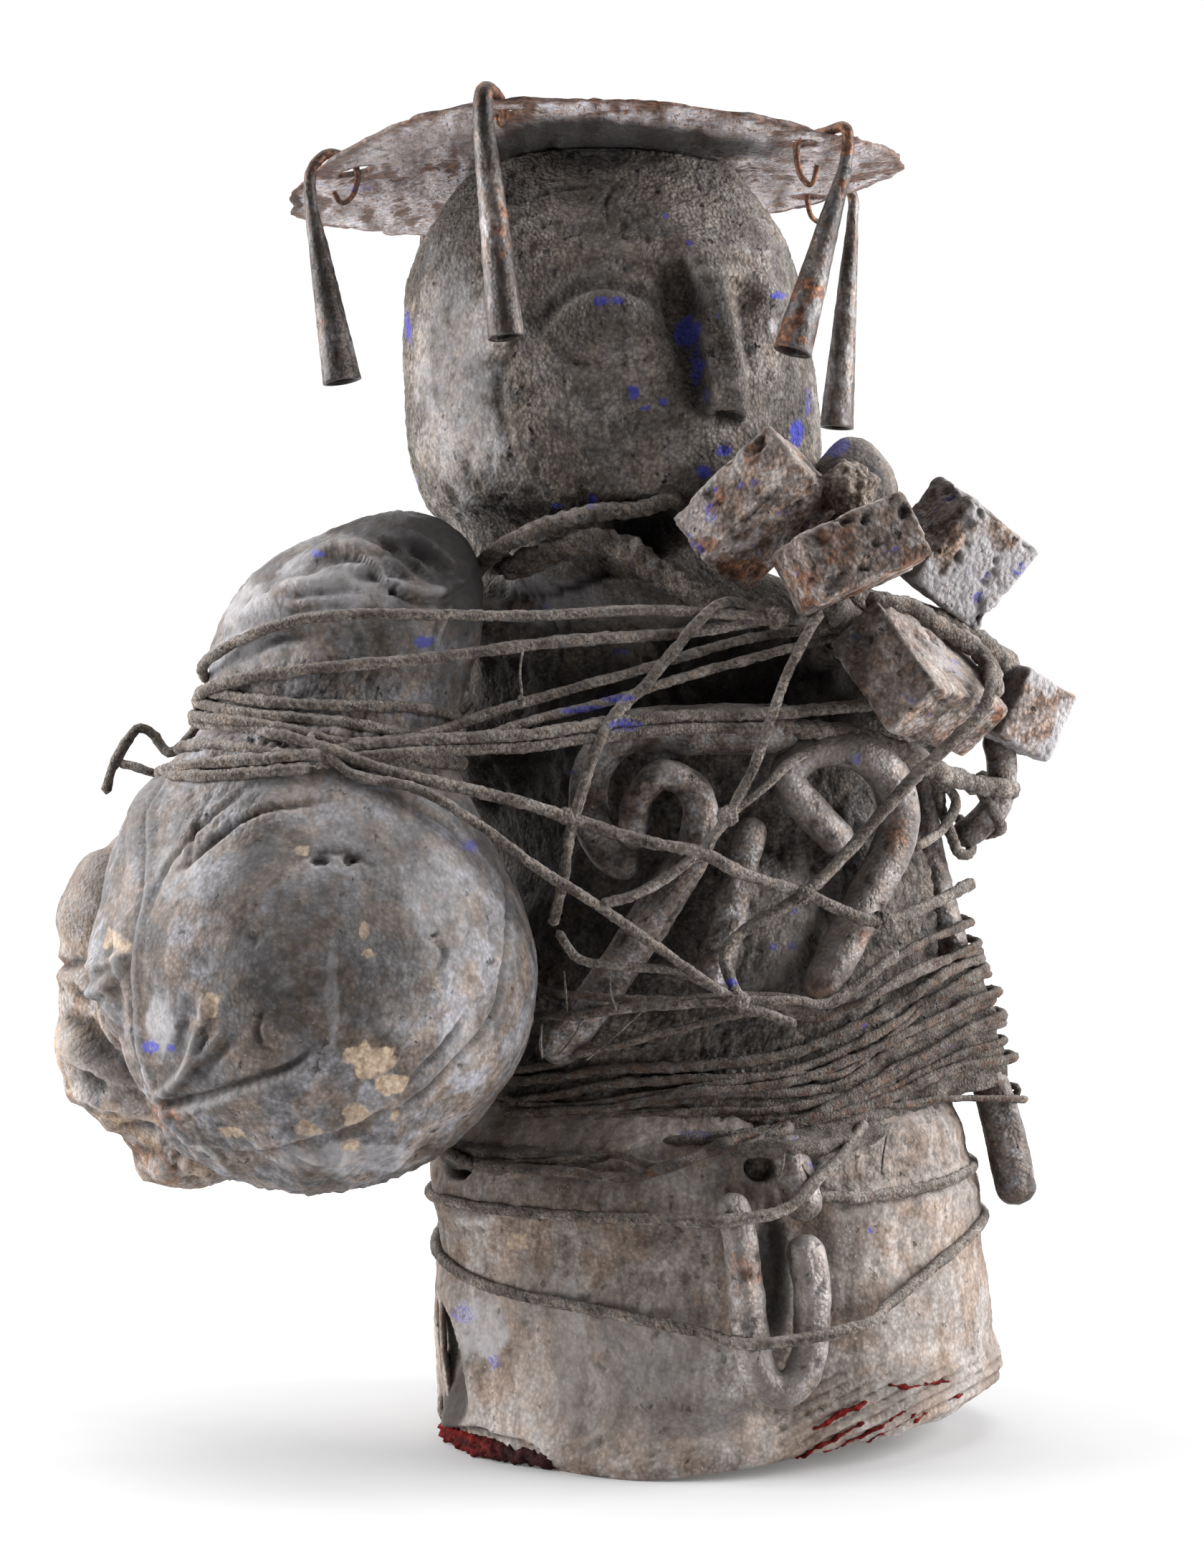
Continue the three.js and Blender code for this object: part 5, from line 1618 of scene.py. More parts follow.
@dataclass
class BaseWrap:
    """Hide wrapped round the lower trunk, tucked under, pleated at the right and torn at the left."""

    rows: int = 112
    columns: int = 340
    square: float = 2.3
    lowest_rows: tuple[float, ...] = (0, 0.6, 1.3, 2.2, 3.3)
    top: float = 101.0
    lift_at: tuple[float, ...] = (-25, -5, 20, 38, 52, 66, 73, 83)
    lift: tuple[float, ...] = (0, 2.0, 4.4, 5.6, 6.0, 6.2, 7.0, 8.0)

    def relief(self, angle: Array, z: Array) -> Array:
        """Slow sag and pleats, as the solid has them.

        Args:
            angle: directions from the middle line.
            z: heights.

        Returns:
            The rise in mm.
        """
        pleats = 1.1 * np.sin(22 * angle + z / 6) * bump(z - 10, 26) * bump(angle + 0.7, 0.75)
        sag = 1.4 * np.sin(5 * angle + z / 23)
        in_front = 2 * bump(angle + 1.95, 0.5) * bump(z - 6, 30) + 11 * bump(angle + 1.6, 0.62) * bump(z, 20)
        corner = 5 * bump(angle + 0.12, 0.6) * bump(z - 12, 16)
        return np.where(z > 1, 0.4 * pleats + 0.5 * sag, 0) + 0.5 * sag + in_front + corner

    def outline(self, angle: Array, z: Array) -> Array:
        """Points on the plain wrap."""
        return loft(WRAP_LEVELS, angle, z, self.square, self.relief(wrapped(angle), np.minimum(z, 84)))

    def creases(self, at: Array) -> Array:
        """Pleats, folds, tears and openings seen on the wrap.

        Args:
            at: seen places.

        Returns:
            The rise in mm.
        """
        slant = at[..., 0] - 1.8 * at[..., 1]
        fan = step(at[..., 0], 6, 44) * step(at[..., 1], 22, 8)
        rise = 1.7 * (np.abs(np.sin(slant * math.pi / 7.5)) - 0.5) * fan
        rise += ledge(at, ((-88, 0.5), (-80.7, -1.6), (-72.2, -2.0), (-66, -4.6), (-56.1, -7.0),
            (-50.6, -11.6), (-44, -15.4)), 2.6, 20)
        # route, height, half width, share of the height left at the ends, steepness
        lines = (
            (((-90, 48), (-82.5, 38), (-78.5, 25), (-76, 13), (-75, 1)), 1.5, 4.0, 0.5),
            (((-90, 40), (-84.5, 28), (-80.5, 14), (-77, 2)), -4.5, 4.2, 0.5, 1.0),
            (((20.9, 64.6), (39.6, 68.6), (63.8, 74), (81.4, 79)), 1.5, 3.4),
            (((20.9, 61), (39.6, 65), (63.8, 70), (81.4, 75)), -1.2, 3.2),
            (((-86.9, 72.6), (-82.5, 65), (-73.7, 61), (-63, 64), (-57, 72)), 2.0, 3.6),
            (((-3.3, -13.2), (8.8, -2.2), (13.2, 8)), 1.6, 5.5),
            (((-15.4, -14.3), (0, -2.2)), 1.0, 3.6),
            (((-58, 52), (-30, 47), (0, 44), (40, 48)), -0.9, 7.0),
            (((-40, 50), (-44, 20), (-36, -8)), -0.9, 9.0),
            (((34, 62), (38, 30), (30, 8)), -0.8, 8.0),
        )
        for line in lines:
            rise += ridge(at, *line)
        rise -= 7 * spots(at, ((-79, 77.8, 3.6, 4.2, 1), (13.6, 78, 5.0, 4.0, 1)))
        rise -= (4.0 * spots(at, ((17, 38, 19, 44, 1), (18, 74, 14, 22, 0.8)))
                 + 3.0 * spots(at, ((16, 44, 7, 22, 1),)))
        return rise

    def build(self, material: Material) -> Array:
        """Makes the piece.

        Args:
            material: its finish.

        Returns:
            The points of its surface.
        """
        heights = np.concatenate([self.lowest_rows, np.linspace(4.2, self.top, self.rows)])
        angle, z = round_grid(heights, self.columns)
        points = self.outline(angle, z)
        out = normals_of(points)
        front = step(-out[..., 1], 0.0, 0.3)
        at = seen(points)
        up = step(z, 0.5, 4)
        rise = self.creases(at) * front
        crusty = spots(at, ((50, 80, 42, 16, 1), (18, 8, 22, 14, 0.7), (-60, 60, 30, 10, 0.5),
            (10, 58, 26, 14, 0.5)), 0.5 * fractal(points, 12, 80, 3))
        rough = 0.5 * fractal(points * (1, 1, 0.45), 11, 81, 5, 0.64) + 0.9 * fractal(points, 38, 82, 2)
        grain = grains(points, 2.4, 83) * (0.45 + 0.7 * crusty * front)
        pits = step(fractal(points, 5, 84, 3), 0.5, 0.85) * 0.7
        back_folds = (1 - front) * 1.3 * fractal(points * (1, 1, 0.25), 14, 85, 3)
        total = (rise + rough + grain - pits + back_folds) * up
        hollow, worn = low_and_high(total, 8, 1.3, 1.5)
        settled = spots(at, ((-40, 16, 24, 22, 0.6), (-16, 20, 14, 22, 0.5), (-56, 38, 24, 9, 0.5)),
            0.5 * fractal(points * (1, 1, 0.3), 8, 88, 3))
        worn = np.maximum(worn, settled * front)
        points = points + out * total[..., None]
        raised = np.interp(points[..., 0], self.lift_at, self.lift) * step(points[..., 1], 40, 0)
        points[..., 2] = np.maximum(points[..., 2], 0.0) + raised * clipped(1 - z / 44) ** 1.5
        traces = marks_at(points, out)
        # painted shade in the window, the gap and the left fold's slit, and round the hanging hook with its
        # cast shadow on the hide; brown is darker brown hide
        dark = spots(at, ((-79, 77.8, 3.6, 4.2, 1), (13.6, 78, 5.0, 4.0, 1), (-86, 20, 4.2, 22, 0.8),
            (-79.5, 10, 4.5, 17, 0.9), (18, 42, 7, 30, 0.95), (18, 72, 13, 14, 0.5), (13, 36, 5, 34, 0.6),
            (31, 30, 4, 22, 0.5), (1, 34, 2.6, 36, 0.4), (15, 3, 16, 4, 0.45)), 0.3 * rough)
        brown = spots(at, ((-48, 70, 34, 7, 0.6), (-10, 0, 18, 7, 0.5), (30, 60, 20, 14, 0.35),
            (-20, 62, 30, 8, 0.15), (48, 8, 34, 12, 0.45), (60, 34, 30, 14, 0.3)),
            0.6 * fractal(points, 9, 87, 4))
        relief = np.stack([hollow, worn, 0.8 * (1 - crusty), np.maximum(dark, 0.6 * brown) * front], -1)
        make_piece("wrap_of_hide", Shell.from_rings(points, traces, relief), material, "hide", "base_wrap")
        return points


@dataclass
class TornEdge:
    """Red cloth and a looped string that show at the wrap's torn lower edge."""

    route: Route = ((-80, -20, 3.2), (-79, -34, 3.0), (-73, -48, 3.0), (-63, -59.5, 3.0), (-50, -68, 2.8),
        (-38, -72, 2.2))
    flaps: tuple[Route, ...] = (
        ((-84, -12, 52), (-84.6, -14, 40), (-84, -15, 26), (-82, -15, 12), (-79, -14, 4)),
        ((-82.4, -24, 50), (-82.8, -26, 38), (-82, -27, 24), (-80, -27, 12), (-77.6, -25, 4.5)),
    )
    loop: Route = ((-81.5, -19, 13), (-83.5, -22, 10.5), (-83, -25, 6.5), (-80.5, -25, 4.4), (-78.5, -23, 6),
        (-79.5, -21, 10), (-82.2, -19, 11.5), (-83.5, -15, 8))
    pleats: tuple[Route, ...] = (
        ((24, -12), (34, -6.5), (44.6, -0.9)),
        ((33, -11), (42, -6), (52, -0.8), (58, 2.4)),
        ((46, -6.4), (56, -1), (64, 3.4)),
        ((52.7, 10.2), (62, 10.4), (72, 12.2)),
        ((60, -0.4), (68, 4), (75, 7.8)),
        ((30, -3), (38, 1.4), (46, 5.8)),
    )

    def strip(self, route: Route, surface: Array, seed: int) -> Shell:
        """A narrow strip of the cloth that shows between two pleats of the wrap.

        Args:
            route: seen points along it.
            surface: points of the wrap.
            seed: which roughness.

        Returns:
            The shell.
        """
        at = seen(surface)
        behind = 900 * (surface[..., 1] > 0)
        near = []
        for spot in smooth_route(route, 4.0):
            closest = np.argmin(np.linalg.norm(at - spot, axis=-1) + behind)
            near.append(surface.reshape(-1, 3)[closest])
        path = smooth_route(near, 0.8)
        rings, out = tube(path, 0.5, 10)
        return Shell.from_rings(rings + out * (0.9 * fractal(rings, 2.6, seed, 3, 0.65))[..., None])

    def build(self, finishes: dict[str, Material], surface: Array) -> None:
        """Makes the cloth, the folded lips of hide and the string.

        Args:
            finishes: the materials by name.
            surface: points of the wrap.
        """
        path = smooth_route(self.route, 0.7)
        rings, out = tube(path, 3.2, 26)
        squash = np.array([1.0, 1.0, 0.75])
        middle = np.concatenate([path[:1], path, path[-1:]])[:, None]
        torn = 1.6 * fractal(rings, 4, 95, 4, 0.65) + 0.8 * fractal(rings, 1.4, 96, 2)
        rings = middle + (rings - middle) * squash + out * torn[..., None]
        rings[..., 2] = np.maximum(rings[..., 2], 0.1)
        relief = np.zeros((*rings.shape[:2], 4))
        # painted shade in the dips of the torn cloth
        relief[..., 0] = step(-torn, 0.2, 1.2)
        relief[..., 3] = 0.85 * step(rings[..., 0] + 2 * torn, -75, -62)
        cloth = [Shell.from_rings(rings, None, relief)]
        cloth += [self.strip(route, surface, 380 + i) for i, route in enumerate(self.pleats)]
        make_piece("red_cloth_torn", Shell.joined(cloth), finishes["red_cloth"], "red_cloth", "red_cloth")
        lips = []
        for number, flap in enumerate(self.flaps):
            path = smooth_route(flap, 0.9)
            rings, out = tube(path, 1.5, 14)
            middle = np.concatenate([path[:1], path, path[-1:]])[:, None]
            rough = 0.35 * fractal(rings, 5, 97 + number, 3)
            rings = middle + (rings - middle) * (0.8, 2.6, 1.0) + out * rough[..., None]
            lips.append(Shell.from_rings(rings))
        make_piece("wrap_folded_lips", Shell.joined(lips), finishes["wrap_hide"], "hide")
        knot = cord_shell(self.loop, 0.95, 5)
        make_piece("string_looped", knot, finishes["cord"], "cord", "string_knot")


# Iron pieces


@dataclass
class Iron:
    """A forged rod or hook, round-ended, pitted and worn."""

    node: str
    route: Route
    radii: tuple[float, ...] = (6.1, 6.1)
    rust_end: float = 0.0
    pale: float = 0.0

    def build(self, material: Material) -> None:
        """Makes the piece.

        Args:
            material: its finish.
        """
        seed = sum(map(ord, self.node))
        rows = np.array(self.route, float)
        for end, inner in ((0, 1), (-1, -2)):
            way = rows[end] - rows[inner]
            rows[end] += way / np.linalg.norm(way) * 0.55 * self.radii[end]
        path = smooth_route(rows, 1.0)
        share = np.linspace(0, 1, len(path))
        radius = np.interp(share, np.linspace(0, 1, len(self.radii)), self.radii)

        def forged(length: Array, turn: Array) -> Array:
            """Hammered flats that turn slowly along the rod."""
            return 1 + 0.035 * np.cos(4 * turn + length / 23 + seed) + 0.05 * np.sin(length / 11 + seed)

        rings, out = tube(path, radius * 0.97, 34, forged)
        rough = 0.32 * fractal(rings, 9, seed, 4, 0.6) + 0.14 * fractal(rings, 2.5, seed + 5, 3)
        pits = step(fractal(rings, 4.2, seed + 9, 3), 0.45, 0.8)
        grained = grains(rings, 2.2, seed + 6) * step(fractal(rings, 14, seed + 8, 2), -0.2, 0.4)
        total = rough + 0.25 * grained - 0.45 * pits
        points = rings + out * total[..., None]
        traces = marks_at(points, out)
        share = np.linspace(0, 1, len(points))[:, None]
        patches = step(fractal(points, 10, seed + 3, 3), 0.45, 0.9) * 0.7
        traces[..., 1] = np.maximum(patches, self.rust_end * step(share, 0.9, 1.0))
        shaded = step(fractal(points, 16, seed + 7, 3), -0.1, 0.6) * (0.45 - 0.4 * self.pale)
        shaded = np.maximum(shaded, -self.pale)
        worn = clipped(total + self.pale)
        relief = np.stack([clipped(0.8 * pits), worn, 0 * total + 0.35, shaded], -1)
        make_piece(f"{self.node}_forged", Shell.from_rings(points, traces, relief), material, "forged_iron",
            self.node)


IRONS = (
    Iron("hook_left", ((18, -64, 211), (-7, -66, 210.5), (-28, -66, 209.5), (-37, -66, 201),
        (-39, -66, 189), (-34, -66, 177), (-27, -66, 172)), (7.0, 7.0, 5.9, 5.7)),
    Iron("hook_link", ((-26, -68, 179), (-25, -75, 190), (-18.5, -78, 197.5), (-9, -77, 193),
        (-8, -73, 180), (-20, -68, 159), (-35, -64, 136), (-49, -56, 118)), (4.6, 4.6, 5.0, 6.6, 6.4, 6.0)),
    Iron("dark_bar", ((8, -60, 183), (2, -61, 161), (-4, -64, 136)), (5.0, 5.6)),
    Iron("hook_right", ((34, -56, 178), (25, -60, 187), (18, -62, 197), (24, -62, 204), (37, -60, 205),
        (47.5, -57, 197), (50.5, -54, 183), (43, -55, 165), (36, -58, 152), (27, -61, 135)),
        (5.0, 5.6, 6.0, 6.2, 5.8), 0.9, 0.5),
    Iron("long_rod", ((60, -20, 196), (62, -20, 176), (68, -20, 151), (79, -20, 112), (84, -20, 97),
        (89.5, -20, 72)), (5.3, 5.5, 6.3), 0.3, -0.35),
    Iron("block_hook", ((83, -20, 209), (84.6, -20, 202), (84.6, -20, 195), (82.6, -20, 188),
        (78.4, -19, 183), (73, -18, 179.5)), (4.8, 4.8)),
    Iron("u_hook", ((0.8, -84, 78), (2.6, -85, 72), (4.5, -86, 57), (5.8, -86, 44.5), (7.6, -86, 34),
        (10, -86, 28.4), (15, -85.5, 26), (20, -85, 28.8), (22.6, -84.6, 36), (23.3, -84.5, 45),
        (23.3, -84, 57), (21, -83, 66)), (5.0, 5.1, 5.2, 5.4, 5.4), 0.0, 0.7),
    Iron("short_rod", ((17, -75, 93), (20, -78, 82), (22, -80, 75)), (5.2, 5.2)),
)


# Blocks and lumps on the shoulder


def turned(degrees: Sequence[float]) -> Array:
    """Matrix that turns about X, then Y, then Z of the piece itself.

    Args:
        degrees: the three turns.

    Returns:
        The matrix.
    """
    a, b, c = (math.radians(d) for d in degrees)
    about_x = np.array([[1, 0, 0], [0, math.cos(a), -math.sin(a)], [0, math.sin(a), math.cos(a)]])
    about_y = np.array([[math.cos(b), 0, math.sin(b)], [0, 1, 0], [-math.sin(b), 0, math.cos(b)]])
    about_z = np.array([[math.cos(c), -math.sin(c), 0], [math.sin(c), math.cos(c), 0], [0, 0, 1]])
    return about_x @ about_y @ about_z


@dataclass
class Block:
    """A pitted iron block with worn edges."""

    number: int
    size: tuple[float, float, float]
    centre: tuple[float, float, float]
    turn: tuple[float, float, float]
    pitted: float = 1.0
    rust: float = 0.5
    pale: float = 0.5
    shaded_face: tuple[float, float, float] = (0.0, 0.0, 0.0)
    fineness: int = 36
    edge: float = 1.7

    def cube(self) -> tuple[Array, list[tuple[int, ...]]]:
        """Points and faces of a finely divided box, from -1 to 1.

        Returns:
            The points and the faces.
        """
        n = self.fineness
        line = np.linspace(-1, 1, n + 1)
        u, v = np.meshgrid(line, line, indexing="ij")
        points, faces = [], []
        quads = grid_faces(np.arange((n + 1) ** 2).reshape(n + 1, n + 1))
        for axis in range(3):
            for end in (-1, 1):
                side = np.empty((n + 1, n + 1, 3))
                side[..., axis] = end
                side[..., (axis + 1) % 3] = u
                side[..., (axis + 2) % 3] = v
                faces.append((quads if end > 0 else quads[:, ::-1]) + len(points) * (n + 1) ** 2)
                points.append(side.reshape(-1, 3))
        stacked = np.vstack(points)
        places, back = np.unique(np.round(stacked, 6), axis=0, return_inverse=True)
        return places, back.ravel()[np.vstack(faces)].tolist()

    def build(self, material: Material) -> None:
        """Makes the piece.

        Args:
            material: its finish.
        """
        unit, faces = self.cube()
        half = np.array(self.size) / 2
        seed = 100 + 7 * self.number
        near_edge = np.sort(np.abs(unit), axis=1)[:, 1]
        local = unit * half
        edge = self.edge * (1 + 0.7 * noise(local, 7, seed))[:, None]
        core = np.clip(local, -(half - edge), half - edge)
        way = local - core
        out = way / np.maximum(np.linalg.norm(way, axis=1, keepdims=True), 1e-9)
        local = core + out * edge
        rough = 0.55 * fractal(local, 12, seed, 5, 0.62) + 0.2 * grains(local, 2.2, seed + 1)
        chips = step(fractal(local, 8, seed + 2, 3), 0.35, 0.75) * step(near_edge, 0.8, 1.0)
        holes = step(fractal(local, 6.5, seed + 3, 3), 0.34, 0.66) * self.pitted
        moved = local + 2.2 * fractal(local, 5, seed + 5, 3)[:, None]
        deep = step(cells(moved, 9, seed + 4)[0], 0.26, 0.12) * self.pitted
        total = rough - 1.8 * chips - 1.5 * holes - 2.2 * deep
        local = local + out * total[:, None]
        matrix = turned(self.turn)
        points = local @ matrix.T + np.array(self.centre)
        normals = out @ matrix.T
        traces = marks_at(points, normals, False)
        blotch = step(fractal(local, 11, seed + 6, 4, 0.6), 0.5 - 0.6 * self.rust, 1.0 - 0.4 * self.rust)
        traces[:, 1] = np.maximum(traces[:, 1], clipped(blotch * self.rust * 1.7))
        blue = step(fractal(local, 6, seed + 8, 3), 0.62, 0.9) * 0.6
        traces[:, 0] = np.maximum(traces[:, 0], blue * step(-normals[:, 1], -0.2, 0.4))
        traces[:, 2] = self.pale * step(fractal(local, 13, seed + 9, 3), 0.5 - self.pale, 1 - self.pale)
        at_edge = step(near_edge, 0.9, 1.0)
        # painted shade on the face turned the given way, which also loses its pale marks
        shaded = step(out @ np.array(self.shaded_face), 0.4, 0.75) * 0.55
        traces[:, 2] *= 1 - shaded
        worn = 0.8 * at_edge * (1 - chips) * step(noise(local, 5, seed + 11), -0.3, 0.5)
        relief = np.stack([clipped(0.9 * deep + 0.7 * holes + 0.5 * chips), worn, 0 * deep, shaded], -1)
        name = f"block_{self.number}"
        make_piece(f"{name}_worn", Shell(points, faces, traces, relief), material, "block_iron", name)


BLOCKS = (
    Block(1, (39, 29, 20), (9.5, -62, 273.5), (-37, -29, -35), 0.7, 0.45, 0.5),
    Block(2, (35, 26, 20), (35, -78, 259.5), (-4, -25, 16), 1.0, 0.8, 0.1, (-0.2, -0.9, 0)),
    Block(3, (29, 28, 30), (69.6, -35, 263.2), (6, 38, 23), 0.8, 0.15, 0.9, (-1, 0, 0)),
    Block(4, (43, 20, 34), (56, -62, 225), (-34, -27, 48), 0.6, 0.25, 0.55, (-1.2, 0, 0)),
    Block(5, (23, 18, 22), (89.5, -25, 217), (-5, 25, 39), 0.2, 0.1, 0.9, (-1, 0, 0)),
)


def lump_shell(centre: Sequence[float], half: Sequence[float], seed: int, rough: float,
        blue: Route = ()) -> Shell:
    """A rough lump.

    Args:
        centre: its middle.
        half: its half sizes.
        seed: which roughness.
        rough: depth of the roughness, in mm.
        blue: seen patches of pigment.

    Returns:
        The shell.
    """
    points = ball(56, 90, 0.03, centre, half)
    out = normals_of(points)
    total = rough * (fractal(points, 0.7 * min(half), seed, 4, 0.6) + 0.25 * grains(points, 2, seed + 1))
    points = points + out * total[..., None]
    traces = marks_at(points, out, False)
    if blue:
        ragged = 0.4 * fractal(points, 3, seed + 2, 3)
        traces[..., 0] = spots(seen(points), blue, ragged) * step(-out[..., 1], -0.3, 0.2)
    relief = np.stack([*low_and_high(total, 5, 0.9, 1.0), 0 * total, 0 * total], -1)
    return Shell.from_rings(points, traces, relief)


# Cord


def cord_shell(route: Route | Array, radius: float, seed: int, spacing: float = 1.25, sides: int = 10,
               crusted: float = 1.0, shade: float = 0.0) -> Shell:
    """A plied cord crusted with earth.

    Args:
        route: points along its middle.
        radius: its radius.
        seed: which crust.
        spacing: distance between its rings.
        sides: points round it.
        crusted: how uneven the crust is.
        shade: how far it is darkened and browned.

    Returns:
        The shell.
    """
    path = smooth_route(route, spacing)
    shake = np.stack([fractal(path + 50 * k, 22, seed + 90 + k, 2) for k in range(3)], -1) * 0.13 * crusted
    path = path + shake
    lay = 2 * math.pi / (4.6 * radius)

    def plied(length: Array, turn: Array) -> Array:
        """Three plies that wind round each other."""
        return 0.93 + 0.13 * np.abs(np.cos(1.5 * (turn - lay * length)))

    rings, out = tube(path, radius, sides, plied)
    walked = np.linspace(0, 1, len(rings))[:, None]
    turn = np.linspace(0, 2 * np.pi, sides, endpoint=False)[None, :]
    length = walked * (len(path) - 1) * spacing
    groove = 1 - np.abs(np.cos(1.5 * (turn - lay * length)))
    uneven = 0.09 * fractal(rings, 6, seed, 3) + 0.13 * fractal(rings, 1.8, seed + 4, 3, 0.6)
    lumps = crusted * radius * uneven
    points = rings + out * lumps[..., None]
    traces = marks_at(points, out, False)
    traces[..., 1] = 0.9 * shade
    raised = np.clip(lumps / radius * 3.2, 0, 0.8)
    # painted shade in the grooves between the plies
    relief = np.stack([0.75 * step(groove, 0.5, 1.0), raised, 0 * groove, 0 * groove + shade], -1)
    return Shell.from_rings(points, traces, relief)


@dataclass
class ChestLashing:
    """Cords that run from the gourd's waist across the chest and irons to the blocks and the belly."""

    cords: tuple[tuple[float, Route], ...] = (
        (1.8, ((-144, -36, 222), (-149, -56, 225), (-148, -72, 229), (-135, -83, 236), (-122, -89, 240),
            (-104, -93, 242), (-79, -90, 242), (-54, -84, 242), (-23, -79, 244), (14, -73, 242),
            (34, -56, 241))),
        (2.0, ((-144, -34, 213), (-151, -56, 217), (-146.5, -77, 221.5), (-132, -88, 225),
            (-104, -94, 228), (-83, -91, 230), (-46, -83, 235), (-9, -77, 238), (14, -73, 242))),
        (1.6, ((-71, -89, 207), (-54, -84, 213), (-34, -80, 218), (-9, -74, 226), (20, -68, 234),
            (34, -54, 238))),
        (2.1, ((-106, -97, 206), (-91, -96, 207), (-71, -93, 208), (-54, -88, 209), (-34, -84, 212),
            (-12, -78, 214), (14, -73, 215), (34, -64, 217), (52, -44, 219))),
        (1.9, ((-106, -98, 202), (-91, -97, 203.5), (-71, -93, 204.5), (-54, -88, 205.5), (-38, -85, 208),
            (-12, -79, 210.5), (14, -74, 211))),
        (3.4, ((-2, -70, 210), (14, -68, 211), (30, -64, 210), (44, -56, 207), (60, -40, 202))),
        (1.7, ((-95, -96, 206), (-80, -88, 210), (-63, -83, 216), (-46, -80, 221), (-25, -74, 227),
            (-6, -70, 233), (14, -64, 238), (30, -52, 240))),
        (2.1, ((-146, -36, 216), (-152.5, -58, 213), (-131, -92, 210), (-112, -99, 205), (-95, -99, 199),
            (-79, -96, 195), (-58, -91, 190), (-43, -87, 185), (-23, -87, 179), (-8, -85, 176),
            (4, -82, 170), (22, -74, 164), (42, -66, 156), (60, -50, 160), (75, -32, 166))),
        (1.7, ((-112, -99, 205), (-104, -101, 198), (-87, -100, 194), (-68, -95, 183), (-52, -91, 171),
            (-36, -87, 161), (-19, -84, 149), (3, -80, 134), (20, -78, 127))),
        (1.9, ((14, -73, 242), (-1, -76, 246), (-13, -81, 235), (-23, -84, 223), (-34, -85, 211),
            (-43, -87, 185), (-46, -85, 168), (-49, -80, 155))),
        (1.8, ((27, -74, 244), (22, -77, 236), (17, -79, 226), (12, -81, 213), (7, -82, 199),
            (0, -84, 186), (-8, -85, 176), (-24, -86, 165), (-36, -87, 161))),
        (1.6, ((27, -69, 206), (18, -76, 201), (9, -82, 193), (0, -84, 186))),
        (2.0, ((73, -52, 234), (77, -55, 229), (76, -66, 226), (75, -73, 223), (72, -77, 215.5),
            (64.5, -78, 208), (55.5, -73, 199), (49.5, -70, 192.5), (41, -69, 183), (32, -72, 173),
            (22, -74, 164), (0, -76, 148), (3, -80, 134))),
        (1.5, ((-48, -78, 154), (-42, -80, 146), (-29, -82, 144), (-13, -82, 142), (3, -80, 134))),
        (1.6, ((-44, -70, 129), (-27, -78, 132), (3, -80, 134), (20, -77, 134), (28, -73, 133),
            (50, -62, 147))),
        (1.7, ((-150, -52, 214), (-160, -54, 204), (-163, -53, 206), (-165, -53, 209), (-169, -54, 211),
            (-172, -55, 208), (-175, -57, 203), (-177, -58, 198), (-178, -59, 192))),
        (1.5, ((-150, -40, 200), (-158, -56, 197.5), (-165, -60, 198.5), (-171, -58, 200.5),
            (-175, -56, 201))),
        (3.4, ((40, -64, 247.5), (52.6, -60, 245.7), (63.8, -56, 239.2), (73, -52, 233.9),
            (77.1, -52, 228.6), (78, -54, 219))),
        (4.4, ((34, -54, 250), (46, -48, 247), (58, -42, 245), (70, -38, 239.5), (80, -34, 233.5),
            (88, -30, 229))),
        (4.6, ((30, -70, 246), (40, -58, 240), (52, -50, 238), (64, -42, 234), (74, -36, 226))),
        (3.3, ((40, -52, 205), (48.7, -50, 203.4), (58.2, -44, 200.5), (67.9, -36, 196.9),
            (77.7, -30, 194.5), (84.5, -27, 193.9), (87.5, -20, 193.3), (84, -13, 195), (78, -12, 198))),
        (1.9, ((74, -29, 197), (75.7, -27, 195.8), (80.5, -26.5, 188.5), (83.4, -25, 184),
            (84.6, -18, 181), (80, -13, 180), (74, -14, 184))),
        (2.0, ((62, -34, 200), (64.4, -30, 194.5), (66.2, -28, 186.2), (69.2, -27, 178.9),
            (71.4, -24, 174.5), (75, -20, 174), (76, -14, 178), (72, -12, 186))),
        (1.7, ((61, -34, 199), (70, -30, 190), (66, -34, 182), (56, -44, 176))),
    )
    waist: tuple[tuple[float, float, float], ...] = ((208, -7.5, 0.4), (203.5, -2, 0.2), (204, 6, 1.0),
        (212.5, -6, -0.2), (199.5, 2, -0.4), (217.5, -3, -0.6))
    knots: tuple[tuple[float, float, float, float], ...] = ((22, -75, 164, 3.0), (3, -80, 134, 3.4),
        (0, -84, 186, 2.8), (14, -74, 242, 3.4), (45, -64, 156, 3.0), (-45, -87, 186, 2.6))

    def waist_turn(self, z: float, tilt: float, lift: float) -> Array:
        """One turn of cord round the gourd's waist.

        Args:
            z: its height.
            tilt: how far it leans, in mm.
            lift: distance off the gourd, in mm.

        Returns:
            Points along it.
        """
        angle = np.linspace(0.6 * np.pi, 2.62 * np.pi, 60)
        height = z + tilt * np.cos(angle) + 0.9 * np.sin(3 * angle + z)
        return loft(GOURD_LEVELS, angle, height, 2, CORD_RADIUS + lift)

    def build(self, material: Material) -> None:
        """Makes the piece.

        Args:
            material: its finish.
        """
        shells = []
        for i, (radius, route) in enumerate(self.cords):
            shells.append(cord_shell(route, 0.86 * radius, 200 + i, crusted=0.9 + 0.2 * radius))
        for i, turn in enumerate(self.waist):
            shells.append(cord_shell(self.waist_turn(*turn), 1.7, 230 + i, 1.3, crusted=1.6))
        for i, (x, y, z, size) in enumerate(self.knots):
            shells.append(lump_shell((x, y, z), (size, 0.8 * size, 0.85 * size), 250 + i, 0.8))
        make_piece("lashing_chest", Shell.joined(shells), material, "cord", "chest_lashing")


